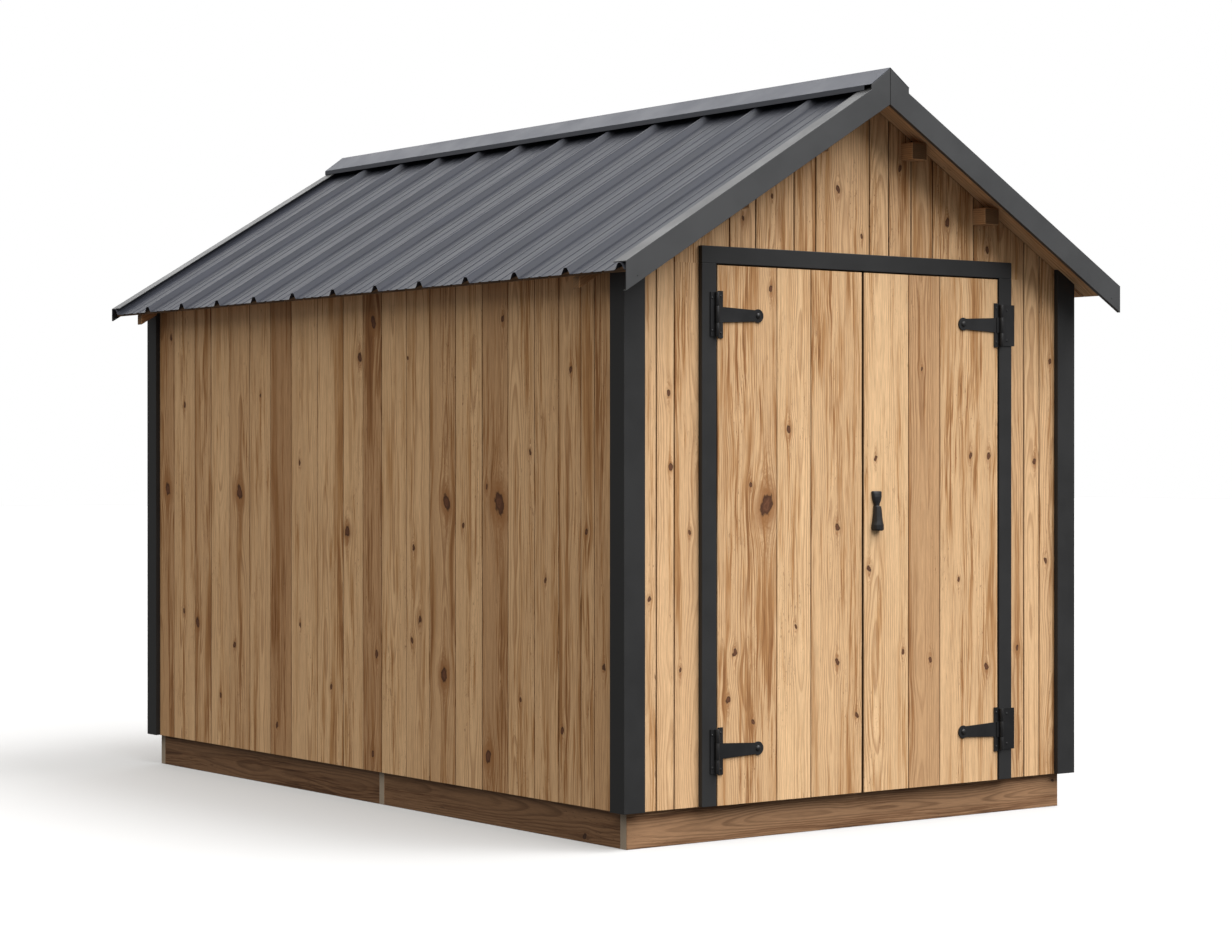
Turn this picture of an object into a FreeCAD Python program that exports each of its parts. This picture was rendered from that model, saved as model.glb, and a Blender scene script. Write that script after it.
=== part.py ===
import FreeCAD, Part
import math
import os
import re

import Sketcher

# Timber garden shed with a gable roof of ribbed metal sheet and double doors on tee hinges.
# Millimetres. The origin is on the ground at the centre of the plan, +X to the right seen from
# the door end, +Y from the door end into the depth, +Z up.

document = FreeCAD.newDocument("garden_shed")

# ---------------------------------------------------------------- driving dimensions

SIZES = [
    # name, value, what it is
    ("frame_width", 2012, "timber frame and base, outside, across"),
    ("frame_depth", 3312, "timber frame and base, outside, front to rear"),
    ("beam_top", 1975, "top of the eave beams, where the roof boards rest"),
    ("roof_slope", 0.6, "rise over run"),
    ("base_tall", 140, "base boards"),
    ("base_thick", 38, "base boards and cross joist"),
    ("joist_from_front", 1517, "front of the base to the cross joist"),
    ("floor_thick", 20, "floor boards"),
    ("cladding_thick", 24, "wall boards"),
    ("cladding_lap", 15, "wall boards hang down over the base"),
    ("frame_timber", 45, "studs, posts and plates are square"),
    ("side_stud_count", 6, "studs in a side wall, corners included"),
    ("rear_stud_spacing", 620, "rear studs, centre to centre"),
    ("plate_gap", 2, "between a side sole plate and the rear one"),
    ("beam_wide", 95, "eave beams"),
    ("beam_tall", 55, "eave beams"),
    ("purlin_reach", 60, "purlins stand out past the wall boards"),
    ("upper_purlin_out", 265, "ridge line to the outer side of the upper purlins"),
    ("lower_purlin_out", 620, "ridge line to the outer side of the lower purlins"),
    ("purlin_wide", 70, "purlins"),
    ("purlin_tall", 60, "purlins"),
    ("deck_thick", 16, "roof boards, square to the slope"),
    ("deck_eave", 110, "roof boards past the side wall boards"),
    ("sheet_thick", 2, "roof sheet"),
    ("sheet_eave", 117, "roof sheet past the side wall boards"),
    ("sheet_ridge_gap", 10, "roof sheet stops short of the ridge"),
    ("sheet_end_gap", 1, "roof sheet to the inside of the rake trims"),
    ("rib_tall", 20, "ribs of the roof sheet"),
    ("rib_base", 48, "ribs, across the foot"),
    ("rib_crest", 16, "ribs, across the top"),
    ("rib_count", 13, "ribs in each slope"),
    ("rib_edge", 30, "edge of the sheet to the centre of the first rib"),
    ("rake_reach", 160, "face of the rake trims past the end wall boards"),
    ("rake_thick", 3, "rake trims"),
    ("rake_front_drop", 50, "front rake trims, below the roof boards"),
    ("rake_rear_drop", 5, "rear rake trims, below the roof boards"),
    ("rake_flange", 70, "rake trims, lap over the sheet"),
    ("rake_return", 15, "rake trims, lower return"),
    ("rake_eave", 116, "rake trims past the side wall boards"),
    ("cap_lip", 18, "plumb lip at each edge of the cap"),
    ("cap_wing", 90, "ridge line to the edge of the cap"),
    ("cap_slope", 0.72, "cap wings, rise over run"),
    ("cap_thick", 3, "ridge cap"),
    ("cap_lift", 4, "lip of the cap above the crests of the ribs"),
    ("bracket_deep", 42, "eave brackets below the roof boards, plumb"),
    ("bracket_reach", 92, "eave brackets past the side wall boards"),
    ("bracket_thick", 38, "eave brackets"),
    ("bracket_front_inset", 132, "front eave brackets from the front wall boards"),
    ("bracket_rear_inset", 32, "rear eave brackets from the rear wall boards"),
    ("trim_thick", 20, "corner and door trims"),
    ("corner_face", 88, "corner trims on the end walls"),
    ("corner_side", 80, "corner trims on the side walls"),
    ("door_trim_wide", 63, "door trims beside the doors"),
    ("door_head_tall", 59, "door trim over the doors"),
    ("leaf_width", 650, "door leaf"),
    ("leaf_height", 1827, "door leaf"),
    ("leaf_thick", 24, "door boards"),
    ("leaf_recess", 2, "door boards behind the face of the trims"),
    ("leaf_gap", 5, "round the doors"),
    ("meeting_gap", 10, "between the two leaves"),
    ("post_lap", 20, "door posts show inside the opening"),
    ("header_drop", 20, "door header shows inside the opening"),
    ("ledge_tall", 100, "door ledges"),
    ("ledge_thick", 28, "door ledges and braces"),
    ("ledge_inset", 30, "door ledges from the edges of a leaf"),
    ("brace_wide", 90, "door braces"),
    ("hinge_low", 185, "bottom of a leaf to the lower hinge"),
    ("hinge_high", 167, "top of a leaf to the upper hinge"),
    ("hinge_steel", 4, "hinge plates"),
    ("hinge_tall", 160, "tee plate"),
    ("barrel_tall", 150, "barrel and frame plate"),
    ("barrel_radius", 8, "hinge barrel"),
    ("barrel_stand", 9, "hinge pin in front of the face of the trims"),
    ("barrel_out", 4, "hinge pin outside the edge of the trim"),
    ("knuckle_tall", 56, "middle knuckle, on the leaf"),
    ("knuckle_gap", 1, "between knuckles, and from a knuckle to a plate"),
    ("pin_radius", 3, "hinge pin"),
    ("pin_clearance", 0.05, "radial"),
    ("tee_wide", 20, "tee plate"),
    ("tee_in", 10, "hinge pin to the tee plate"),
    ("frame_plate_left_wide", 16, "hinge plates on the left door trim"),
    ("frame_plate_right_wide", 60, "hinge plates on the right door trim, past its outer edge"),
    ("strap_length", 184, "hinge pin to the centre of the strap's end"),
    ("strap_root", 52, "strap at the tee plate"),
    ("strap_neck", 38, "strap at its end"),
    ("strap_end_radius", 23, "rounded end of the strap"),
    ("handle_out", 55, "meeting edge to the centre of the handle"),
    ("handle_height", 1034, "bottom of a leaf to the centre of the handle's pad"),
    ("pad_wide", 45, "handle pad"),
    ("pad_tall", 50, "handle pad"),
    ("pad_thick", 6, "handle pad"),
    ("neck_wide", 18, "handle where it leaves the pad"),
    ("neck_proud", 12, "handle where it leaves the pad"),
    ("grip_wide", 46, "handle at its foot"),
    ("grip_proud", 30, "handle at its foot"),
    ("grip_tall", 90, "handle below the pad"),
]

sheet = document.addObject("Spreadsheet::Sheet", "Sizes")
for row, (alias, value, note) in enumerate(SIZES, start=1):
    sheet.set(f"A{row}", alias)
    sheet.set(f"B{row}", str(value))
    sheet.set(f"C{row}", note)
    sheet.setAlias(f"B{row}", alias)
document.recompute()

ALIASES = {alias for alias, value, note in SIZES}
WORD = re.compile(r"[a-z_]+")

# ---------------------------------------------------------------- lines that pieces share

STEEP = "sqrt(1 + roof_slope ^ 2)"
FRAME_X = "(frame_width / 2)"
FRAME_Y = "(frame_depth / 2)"
SIDING_X = f"({FRAME_X} + cladding_thick)"
SIDING_Y = f"({FRAME_Y} + cladding_thick)"
TRIM_X = f"({SIDING_X} + trim_thick)"
TRIM_Y = f"({SIDING_Y} + trim_thick)"
SIDING_FOOT = "(base_tall - cladding_lap)"
FLOOR_TOP = "(base_tall + floor_thick)"
SOLE_TOP = f"({FLOOR_TOP} + frame_timber)"
BEAM_FOOT = "(beam_top - beam_tall)"
DECK_UNDER = f"(beam_top + roof_slope * {FRAME_X})"
DECK_TOP = f"({DECK_UNDER} + deck_thick * {STEEP})"
RIB_TOP = f"({DECK_TOP} + (sheet_thick + rib_tall) * {STEEP})"
RAKE_TOP = f"({RIB_TOP} + rake_thick * {STEEP})"
RAKE_FACE_Y = f"({SIDING_Y} + rake_reach)"
ROOF_Y = f"({RAKE_FACE_Y} - rake_thick)"
CAP_SKIN = "(cap_thick * sqrt(1 + cap_slope ^ 2))"
CAP_INSIDE = "(cap_wing - cap_thick)"
CAP_LIP = f"({RIB_TOP} + cap_lift - roof_slope * {CAP_INSIDE})"
CAP_EDGE = f"({CAP_LIP} + cap_lip)"
CAP_PEAK = f"({CAP_EDGE} + cap_slope * cap_wing)"
DOOR_HALF = "(meeting_gap / 2 + leaf_width + leaf_gap)"
DOOR_TOP = f"({SIDING_FOOT} + leaf_height + leaf_gap)"
HEADER_FOOT = f"({DOOR_TOP} - header_drop)"
LEAF_FRONT_Y = f"({TRIM_Y} - leaf_recess)"
LEAF_BACK_Y = f"({LEAF_FRONT_Y} - leaf_thick)"
PIN_X = f"({DOOR_HALF} + barrel_out)"
PIN_Y = f"({TRIM_Y} + barrel_stand)"

FIRST_TILT = 30  # degrees: gives the roof sheets their axis before the slope sets the angle

SIDES = {"left": -1, "right": 1}
ENDS = {"front": -1, "rear": 1}


def bound(expression):
    """The expression with each named size pointing at its cell."""

    def cell(match):
        word = match.group()
        return f"Sizes.{word}" if word in ALIASES else word

    return WORD.sub(cell, expression)


def under_deck(distance):
    """Height of the underside of the roof boards at a distance from the ridge line."""
    return f"({DECK_UNDER} - roof_slope * {distance})"


PURLIN_FEET = {
    level: f"({under_deck(level + '_purlin_out')} - purlin_tall)" for level in ("upper", "lower")
}


def under_cap(distance):
    """Height of the underside of the ridge cap at a distance from the ridge line."""
    return f"({CAP_PEAK} - {CAP_SKIN} - cap_slope * {distance})"


# ---------------------------------------------------------------- ways of making a piece


def place(piece, x="0", y="0", z="0"):
    for axis, expression in zip("xyz", (x, y, z)):
        piece.setExpression(f"Placement.Base.{axis}", bound(expression))
    return piece


def box(label, low, size):
    """A square-edged timber or plate from its lowest corner and its three sizes."""
    piece = document.addObject("Part::Box", label)
    piece.Label = label
    for name, expression in zip(("Length", "Width", "Height"), size):
        piece.setExpression(name, bound(expression))
    return place(piece, *low)


def side_box(label, side, inner, wide, y, deep, z, tall):
    """A box on the left or right whose inner face is at a distance from the middle."""
    low_x = inner if side > 0 else f"-({inner}) - ({wide})"
    return box(label, (low_x, y, z), (wide, deep, tall))


def end_low(end, inner, thick):
    """Lowest y of something whose inner face is at a distance from the middle."""
    return inner if end > 0 else f"-({inner}) - ({thick})"


def joined(label, pieces):
    """One named piece fused from several, or several apart that share a node."""
    piece = document.addObject("Part::MultiFuse", label)
    piece.Label = label
    piece.Shapes = pieces
    return piece


def origin_plane(body, role):
    return next(item for item in body.Origin.OriginFeatures if item.Role == role)


def outline(body, role, points):
    """A closed sketch with each corner held by two sizes from the origin."""
    sketch = body.newObject("Sketcher::SketchObject", body.Label + "_outline")
    sketch.AttachmentSupport = [(origin_plane(body, role), "")]
    sketch.MapMode = "FlatFace"
    count = len(points)
    start = [
        FreeCAD.Vector(math.cos(math.tau * step / count), math.sin(math.tau * step / count), 0)
        for step in range(count)
    ]
    for step in range(count):
        sketch.addGeometry(Part.LineSegment(start[step], start[(step + 1) % count]), False)
    for step in range(count):
        sketch.addConstraint(Sketcher.Constraint("Coincident", step, 2, (step + 1) % count, 1))
    for step, (across, up) in enumerate(points):
        for kind, expression in (("DistanceX", across), ("DistanceY", up)):
            number = sketch.addConstraint(Sketcher.Constraint(kind, -1, 1, step, 1, 1.0))
            sketch.setExpression(f"Constraints[{number}]", bound(expression))
    return sketch


def pad(body, sketch, length, reverse=False):
    feature = body.newObject("PartDesign::Pad", sketch.Label + "_pad")
    feature.Profile = sketch
    feature.setExpression("Length", bound(length))
    feature.Reversed = reverse
    sketch.Visibility = False
    return feature


def new_body(label):
    body = document.addObject("PartDesign::Body", label)
    body.Label = label
    return body


def prism(label, points, low_y, deep):
    """An outline seen from the front, (x, z) corners, made solid towards the rear."""
    body = new_body(label)
    pad(body, outline(body, "XZ_Plane", points), deep, reverse=True)
    return place(body, y=low_y)


def slope_points(side, top, tall, inner, outer):
    """Corners of a strip that runs down one slope between two plumb cuts."""
    corners = []
    for distance, height in (
        (inner, top),
        (outer, top),
        (outer, f"({top} - ({tall}))"),
        (inner, f"({top} - ({tall}))"),
    ):
        corners.append((f"{side} * ({distance})", f"{height} - roof_slope * ({distance})"))
    return corners


# ---------------------------------------------------------------- base and floor


def make_base():
    for name, end in ENDS.items():
        yield box(
            f"base_{name}_board",
            (f"-{FRAME_X}", end_low(end, f"{FRAME_Y} - base_thick", "base_thick"), "0"),
            ("frame_width", "base_thick", "base_tall"),
        )
    joist_y = f"(joist_from_front - {FRAME_Y})"
    yield box(
        "base_middle_joist",
        (f"-{FRAME_X}", joist_y, "0"),
        ("frame_width", "base_thick", "base_tall"),
    )
    for name, side in SIDES.items():
        inner = f"{FRAME_X} - base_thick"
        front = side_box(
            f"base_{name}_front_board", side, inner, "base_thick",
            f"base_thick - {FRAME_Y}", "joist_from_front - base_thick", "0", "base_tall",
        )
        rear = side_box(
            f"base_{name}_rear_board", side, inner, "base_thick",
            f"{joist_y} + base_thick", "frame_depth - joist_from_front - 2 * base_thick",
            "0", "base_tall",
        )
        yield joined(f"base_{name}_boards", [front, rear])
    yield box(
        "floor_deck",
        (f"-{FRAME_X}", f"-{FRAME_Y}", "base_tall"),
        ("frame_width", "frame_depth", "floor_thick"),
    )


# ---------------------------------------------------------------- walls


def notch(label, side, outer, foot, low_y):
    """Room through an end wall for one purlin, up to the roof boards."""
    return side_box(
        label, side, f"{outer} - purlin_wide", "purlin_wide", low_y, "cladding_thick",
        foot, f"{DECK_UNDER} - {foot}",
    )


def make_end_wall(label, corners, low_y):
    """End wall boards to an outline, let in round the purlins that come through."""
    notches = [
        notch(f"{label}_{name}_{level}_notch", side, f"{level}_purlin_out", foot, low_y)
        for name, side in SIDES.items()
        for level, foot in PURLIN_FEET.items()
    ]
    wall = document.addObject("Part::Cut", label)
    wall.Label = label
    wall.Base = prism(f"{label}_boards", corners, low_y, "cladding_thick")
    wall.Tool = joined(f"{label}_notches", notches)
    return wall


def make_walls():
    for name, side in SIDES.items():
        yield side_box(
            f"{name}_wall", side, FRAME_X, "cladding_thick", f"-{FRAME_Y}", "frame_depth",
            SIDING_FOOT, f"{under_deck(SIDING_X)} - {SIDING_FOOT}",
        )
    for name, side in SIDES.items():
        beside_door = [
            (f"{side} * {DOOR_HALF}", SIDING_FOOT),
            (f"{side} * {SIDING_X}", SIDING_FOOT),
            (f"{side} * {SIDING_X}", under_deck(SIDING_X)),
            (f"{side} * {DOOR_HALF}", under_deck(DOOR_HALF)),
        ]
        yield make_end_wall(f"front_wall_{name}", beside_door, f"-{SIDING_Y}")
    over_door = [
        (f"-{DOOR_HALF}", DOOR_TOP),
        (DOOR_HALF, DOOR_TOP),
        (DOOR_HALF, under_deck(DOOR_HALF)),
        ("0", DECK_UNDER),
        (f"-{DOOR_HALF}", under_deck(DOOR_HALF)),
    ]
    yield make_end_wall("front_gable", over_door, f"-{SIDING_Y}")
    whole = [
        (f"-{SIDING_X}", SIDING_FOOT),
        (SIDING_X, SIDING_FOOT),
        (SIDING_X, under_deck(SIDING_X)),
        ("0", DECK_UNDER),
        (f"-{SIDING_X}", under_deck(SIDING_X)),
    ]
    yield make_end_wall("rear_wall", whole, FRAME_Y)


# ---------------------------------------------------------------- frame inside the walls


def make_frame():
    stud_tall = f"{BEAM_FOOT} - {SOLE_TOP}"
    square = "frame_timber"
    count = int(sheet.get("side_stud_count"))
    for name, side in SIDES.items():
        studs = []
        for step in range(count):
            along = f"(frame_depth - {square}) * {step} / (side_stud_count - 1) - {FRAME_Y}"
            studs.append(
                side_box(
                    f"{name}_stud_{step + 1}", side, f"{FRAME_X} - {square}", square,
                    along, square, SOLE_TOP, stud_tall,
                )
            )
        yield joined(f"{name}_wall_studs", studs)
    rear_y = f"{FRAME_Y} - {square}"
    yield joined(
        "rear_wall_studs",
        [
            box(
                f"rear_stud_{step + 2}",
                (f"{step} * rear_stud_spacing - {square} / 2", rear_y, SOLE_TOP),
                (square, square, stud_tall),
            )
            for step in (-1, 0, 1)
        ],
    )
    soles = [
        side_box(
            f"{name}_sole", side, f"{FRAME_X} - {square}", square,
            f"-{FRAME_Y}", "frame_depth", FLOOR_TOP, square,
        )
        for name, side in SIDES.items()
    ]
    rear_half = f"({FRAME_X} - {square} - plate_gap)"
    soles.append(
        box("rear_sole", (f"-{rear_half}", rear_y, FLOOR_TOP), (f"2 * {rear_half}", square, square))
    )
    yield joined("sole_plates", soles)
    inside_beams = f"({FRAME_X} - beam_wide)"
    header = box(
        "door_header",
        (f"-{inside_beams}", f"-{FRAME_Y}", HEADER_FOOT),
        (f"2 * {inside_beams}", square, square),
    )
    rear_head = box(
        "rear_head",
        (f"-{inside_beams}", rear_y, BEAM_FOOT),
        (f"2 * {inside_beams}", square, square),
    )
    yield joined("head_plates", [header, rear_head])
    yield joined(
        "door_posts",
        [
            side_box(
                f"{name}_door_post", side, f"{DOOR_HALF} - post_lap", square,
                f"-{FRAME_Y}", square, FLOOR_TOP, f"{HEADER_FOOT} - {FLOOR_TOP}",
            )
            for name, side in SIDES.items()
        ],
    )


# ---------------------------------------------------------------- roof timbers


def make_roof_timbers():
    reach_y = f"({SIDING_Y} + purlin_reach)"
    yield joined(
        "eave_beams",
        [
            side_box(
                f"{name}_eave_beam", side, f"{FRAME_X} - beam_wide", "beam_wide",
                f"-{FRAME_Y}", "frame_depth", BEAM_FOOT, "beam_tall",
            )
            for name, side in SIDES.items()
        ],
    )
    yield joined(
        "purlins",
        [
            side_box(
                f"{name}_{level}_purlin", side, f"{level}_purlin_out - purlin_wide", "purlin_wide",
                f"-{reach_y}", f"2 * {reach_y}", foot, "purlin_tall",
            )
            for name, side in SIDES.items()
            for level, foot in PURLIN_FEET.items()
        ],
    )
    for name, side in SIDES.items():
        corners = slope_points(
            side, DECK_TOP, f"deck_thick * {STEEP}", "0", f"{SIDING_X} + deck_eave"
        )
        yield prism(f"roof_deck_{name}", corners, f"-{ROOF_Y}", f"2 * {ROOF_Y}")
    brackets = []
    fixed_to = {"front": SIDING_X, "rear": TRIM_X}
    for side_name, side in SIDES.items():
        for end_name, end in ENDS.items():
            corners = slope_points(
                side, DECK_UNDER, "bracket_deep", fixed_to[end_name],
                f"{SIDING_X} + bracket_reach",
            )
            low_y = end_low(
                end, f"{SIDING_Y} - bracket_{end_name}_inset - bracket_thick", "bracket_thick"
            )
            brackets.append(
                prism(f"{side_name}_{end_name}_bracket", corners, low_y, "bracket_thick")
            )
    yield joined("eave_brackets", brackets)


# ---------------------------------------------------------------- roof metal


def pattern_along_depth(body, feature, span, count):
    """The feature repeated towards the rear over a span."""
    pattern = body.newObject("PartDesign::LinearPattern", feature.Label + "_row")
    pattern.Originals = [feature]
    pattern.Direction = (origin_plane(body, "Y_Axis"), [""])
    pattern.setExpression("Length", bound(span))
    pattern.setExpression("Occurrences", bound(count))
    body.Tip = pattern
    return pattern


def make_roof_sheet(name, side):
    """A flat pan with hollow ribs down the slope, made level and then tilted."""
    body = new_body(f"roof_sheet_{name}")
    length = f"(({SIDING_X} + sheet_eave) * {STEEP} - sheet_ridge_gap)"
    half = f"({ROOF_Y} - sheet_end_gap)"
    pan = [
        (f"-{half}", "0"),
        (half, "0"),
        (half, "sheet_thick"),
        (f"-{half}", "sheet_thick"),
    ]
    reverse = side < 0
    pad(body, outline(body, "YZ_Plane", pan), length, reverse)
    first = f"(rib_edge - {half})"
    span = f"2 * ({half} - rib_edge)"
    rib = [
        (f"{first} - rib_base / 2", "0"),
        (f"{first} + rib_base / 2", "0"),
        (f"{first} + rib_base / 2", "sheet_thick"),
        (f"{first} + rib_crest / 2", "sheet_thick + rib_tall"),
        (f"{first} - rib_crest / 2", "sheet_thick + rib_tall"),
        (f"{first} - rib_base / 2", "sheet_thick"),
    ]
    solid_rib = pad(body, outline(body, "YZ_Plane", rib), length, reverse)
    document.recompute()
    pattern_along_depth(body, solid_rib, span, "rib_count")
    document.recompute()
    hollow = [
        (f"{first} - rib_base / 2 + sheet_thick", "0"),
        (f"{first} + rib_base / 2 - sheet_thick", "0"),
        (f"{first} + rib_crest / 2 - sheet_thick / 2", "rib_tall"),
        (f"{first} - rib_crest / 2 + sheet_thick / 2", "rib_tall"),
    ]
    cut = body.newObject("PartDesign::Pocket", f"roof_sheet_{name}_hollow")
    cut.Profile = outline(body, "YZ_Plane", hollow)
    cut.Type = "ThroughAll"
    cut.Reversed = side > 0
    document.recompute()
    pattern_along_depth(body, cut, span, "rib_count")
    body.Placement = FreeCAD.Placement(
        FreeCAD.Vector(), FreeCAD.Rotation(FreeCAD.Vector(0, side, 0), FIRST_TILT)
    )
    body.setExpression("Placement.Rotation.Angle", bound("atan(roof_slope)"))
    place(
        body,
        x=f"{side} * sheet_ridge_gap / {STEEP}",
        z=f"{DECK_TOP} - roof_slope * sheet_ridge_gap / {STEEP}",
    )
    return body


def make_rake_trim(side_name, side, end_name, end):
    """A bent strip: a plumb face that closes the cap, a flange over the sheet and a return."""
    label = f"rake_trim_{end_name}_{side_name}"
    outer = f"{SIDING_X} + rake_eave"
    skin = f"rake_thick * {STEEP}"
    face_tall = f"({RAKE_TOP} - {DECK_UNDER} + rake_{end_name}_drop)"
    strips = (
        ("face", RAKE_TOP, face_tall, "rake_thick"),
        ("flange", RAKE_TOP, skin, "rake_flange"),
        ("return", f"({RAKE_TOP} - {face_tall} + {skin})", skin, "rake_return"),
    )
    parts = []
    for part, top, tall, deep in strips:
        low_y = end_low(end, f"{RAKE_FACE_Y} - {deep}", deep)
        corners = slope_points(side, top, tall, "0", outer)
        parts.append(prism(f"{label}_{part}", corners, low_y, deep))
    closure = [
        ("0", RAKE_TOP),
        ("0", under_cap("0")),
        (f"{side} * {CAP_INSIDE}", under_cap(CAP_INSIDE)),
        (f"{side} * {CAP_INSIDE}", f"{RAKE_TOP} - roof_slope * {CAP_INSIDE}"),
    ]
    low_y = end_low(end, f"{RAKE_FACE_Y} - rake_thick", "rake_thick")
    parts.append(prism(f"{label}_closure", closure, low_y, "rake_thick"))
    return joined(label, parts)


def make_ridge_cap():
    """Two wings with a plumb lip at each edge."""
    right = [
        ("cap_wing", CAP_EDGE),
        ("cap_wing", CAP_LIP),
        (CAP_INSIDE, CAP_LIP),
        (CAP_INSIDE, under_cap(CAP_INSIDE)),
    ]
    left = [(f"-{across}", up) for across, up in reversed(right)]
    corners = [("0", CAP_PEAK)] + right + [("0", under_cap("0"))] + left
    return prism("ridge_cap", corners, f"-{RAKE_FACE_Y}", f"2 * {RAKE_FACE_Y}")


def make_roof_metal():
    for name, side in SIDES.items():
        yield make_roof_sheet(name, side)
    yield make_ridge_cap()
    for side_name, side in SIDES.items():
        for end_name, end in ENDS.items():
            yield make_rake_trim(side_name, side, end_name, end)


# ---------------------------------------------------------------- trims


def make_corner_trim(side_name, side, end_name, end):
    """An L on one corner of the building, its face cut to the slope of the roof boards."""
    tall = f"{under_deck(TRIM_X)} - {SIDING_FOOT}"
    inner = f"({TRIM_X} - corner_face)"
    corners = [
        (f"{side} * {inner}", SIDING_FOOT),
        (f"{side} * {TRIM_X}", SIDING_FOOT),
        (f"{side} * {TRIM_X}", under_deck(TRIM_X)),
        (f"{side} * {inner}", under_deck(inner)),
    ]
    face = prism(
        f"{side_name}_{end_name}_corner_face", corners,
        end_low(end, SIDING_Y, "trim_thick"), "trim_thick",
    )
    leg = "corner_side - trim_thick"
    return_leg = side_box(
        f"{side_name}_{end_name}_corner_side", side, SIDING_X, "trim_thick",
        end_low(end, f"{SIDING_Y} - ({leg})", leg), leg, SIDING_FOOT, tall,
    )
    return joined(f"{side_name}_{end_name}_corner", [face, return_leg])


def make_trims():
    for end_name, end in ENDS.items():
        yield joined(
            f"{end_name}_corner_trims",
            [make_corner_trim(name, side, end_name, end) for name, side in SIDES.items()],
        )
    for name, side in SIDES.items():
        yield side_box(
            f"door_trim_{name}", side, DOOR_HALF, "door_trim_wide",
            f"-{TRIM_Y}", "trim_thick", SIDING_FOOT, f"{DOOR_TOP} - {SIDING_FOOT}",
        )
    head_half = f"({DOOR_HALF} + door_trim_wide)"
    yield box(
        "door_trim_head",
        (f"-{head_half}", f"-{TRIM_Y}", DOOR_TOP),
        (f"2 * {head_half}", "trim_thick", "door_head_tall"),
    )


# ---------------------------------------------------------------- hinges

HINGE_LEVELS = {
    "lower": f"({SIDING_FOOT} + hinge_low)",
    "upper": f"({SIDING_FOOT} + leaf_height - hinge_high)",
}


def upright(label, side, radius, low_z, tall):
    """A round bar or knuckle on the line of a hinge pin."""
    bar = document.addObject("Part::Cylinder", label)
    bar.Label = label
    bar.setExpression("Radius", bound(radius))
    bar.setExpression("Height", bound(tall))
    return place(bar, x=f"{side} * {PIN_X}", y=f"-{PIN_Y}", z=low_z)


def make_frame_hinge(name, side, level, centre):
    """The half of a hinge on the door trim, with its two knuckles and the pin."""
    label = f"{name}_{level}_frame_hinge"
    plate_inner = f"{PIN_X} + barrel_radius + knuckle_gap"
    low = f"{centre} - barrel_tall / 2"
    parts = [
        side_box(
            f"{label}_plate", side, plate_inner, f"frame_plate_{name}_wide",
            f"-{TRIM_Y} - hinge_steel", "hinge_steel", low, "barrel_tall",
        ),
        upright(f"{label}_pin", side, "pin_radius", low, "barrel_tall"),
    ]
    knuckle = "(barrel_tall - knuckle_tall) / 2 - knuckle_gap"
    for part, low_z in (("foot", low), ("head", f"{centre} + knuckle_tall / 2 + knuckle_gap")):
        parts.append(upright(f"{label}_{part}_knuckle", side, "barrel_radius", low_z, knuckle))
        parts.append(
            side_box(
                f"{label}_{part}_tab", side, PIN_X, "barrel_radius + 2 * knuckle_gap",
                f"-{TRIM_Y} - hinge_steel - knuckle_gap", "hinge_steel", low_z, knuckle,
            )
        )
    return joined(label, parts)


def make_strap(name, side, level, centre):
    """The half of a hinge on the leaf: knuckle, tee plate and tapered strap."""
    label = f"{name}_{level}_strap"
    face_y = f"-{LEAF_FRONT_Y} - hinge_steel"
    low = f"({centre} - knuckle_tall / 2)"
    tee_outer = f"({PIN_X} - tee_in)"
    tee_inner = f"({tee_outer} - tee_wide)"
    end_x = f"({PIN_X} - strap_length)"
    knuckle = upright(f"{label}_knuckle", side, "barrel_radius", low, "knuckle_tall")
    crank = side_box(
        f"{label}_crank", side, f"{tee_outer} - tee_wide / 2", "tee_in + tee_wide / 2",
        f"-{TRIM_Y} - hinge_steel - knuckle_gap", "hinge_steel", low, "knuckle_tall",
    )
    hole = upright(
        f"{label}_hole", side, "pin_radius + pin_clearance",
        f"{low} - knuckle_gap", "knuckle_tall + 2 * knuckle_gap",
    )
    eye = document.addObject("Part::Cut", f"{label}_eye")
    eye.Base = joined(f"{label}_rolled_end", [knuckle, crank])
    eye.Tool = hole
    tee = side_box(
        f"{label}_tee", side, tee_inner, "tee_wide",
        face_y, "hinge_steel", f"{centre} - hinge_tall / 2", "hinge_tall",
    )
    taper = prism(
        f"{label}_taper",
        [
            (f"{side} * {tee_inner}", f"{centre} - strap_root / 2"),
            (f"{side} * {tee_inner}", f"{centre} + strap_root / 2"),
            (f"{side} * {end_x}", f"{centre} + strap_neck / 2"),
            (f"{side} * {end_x}", f"{centre} - strap_neck / 2"),
        ],
        face_y,
        "hinge_steel",
    )
    end = document.addObject("Part::Cylinder", f"{label}_end")
    end.setExpression("Radius", bound("strap_end_radius"))
    end.setExpression("Height", bound("hinge_steel"))
    end.Placement.Rotation = FreeCAD.Rotation(FreeCAD.Vector(1, 0, 0), 90)
    place(end, x=f"{side} * {end_x}", y=f"-{LEAF_FRONT_Y}", z=centre)
    return joined(label, [eye, tee, taper, end])


# ---------------------------------------------------------------- doors


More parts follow.
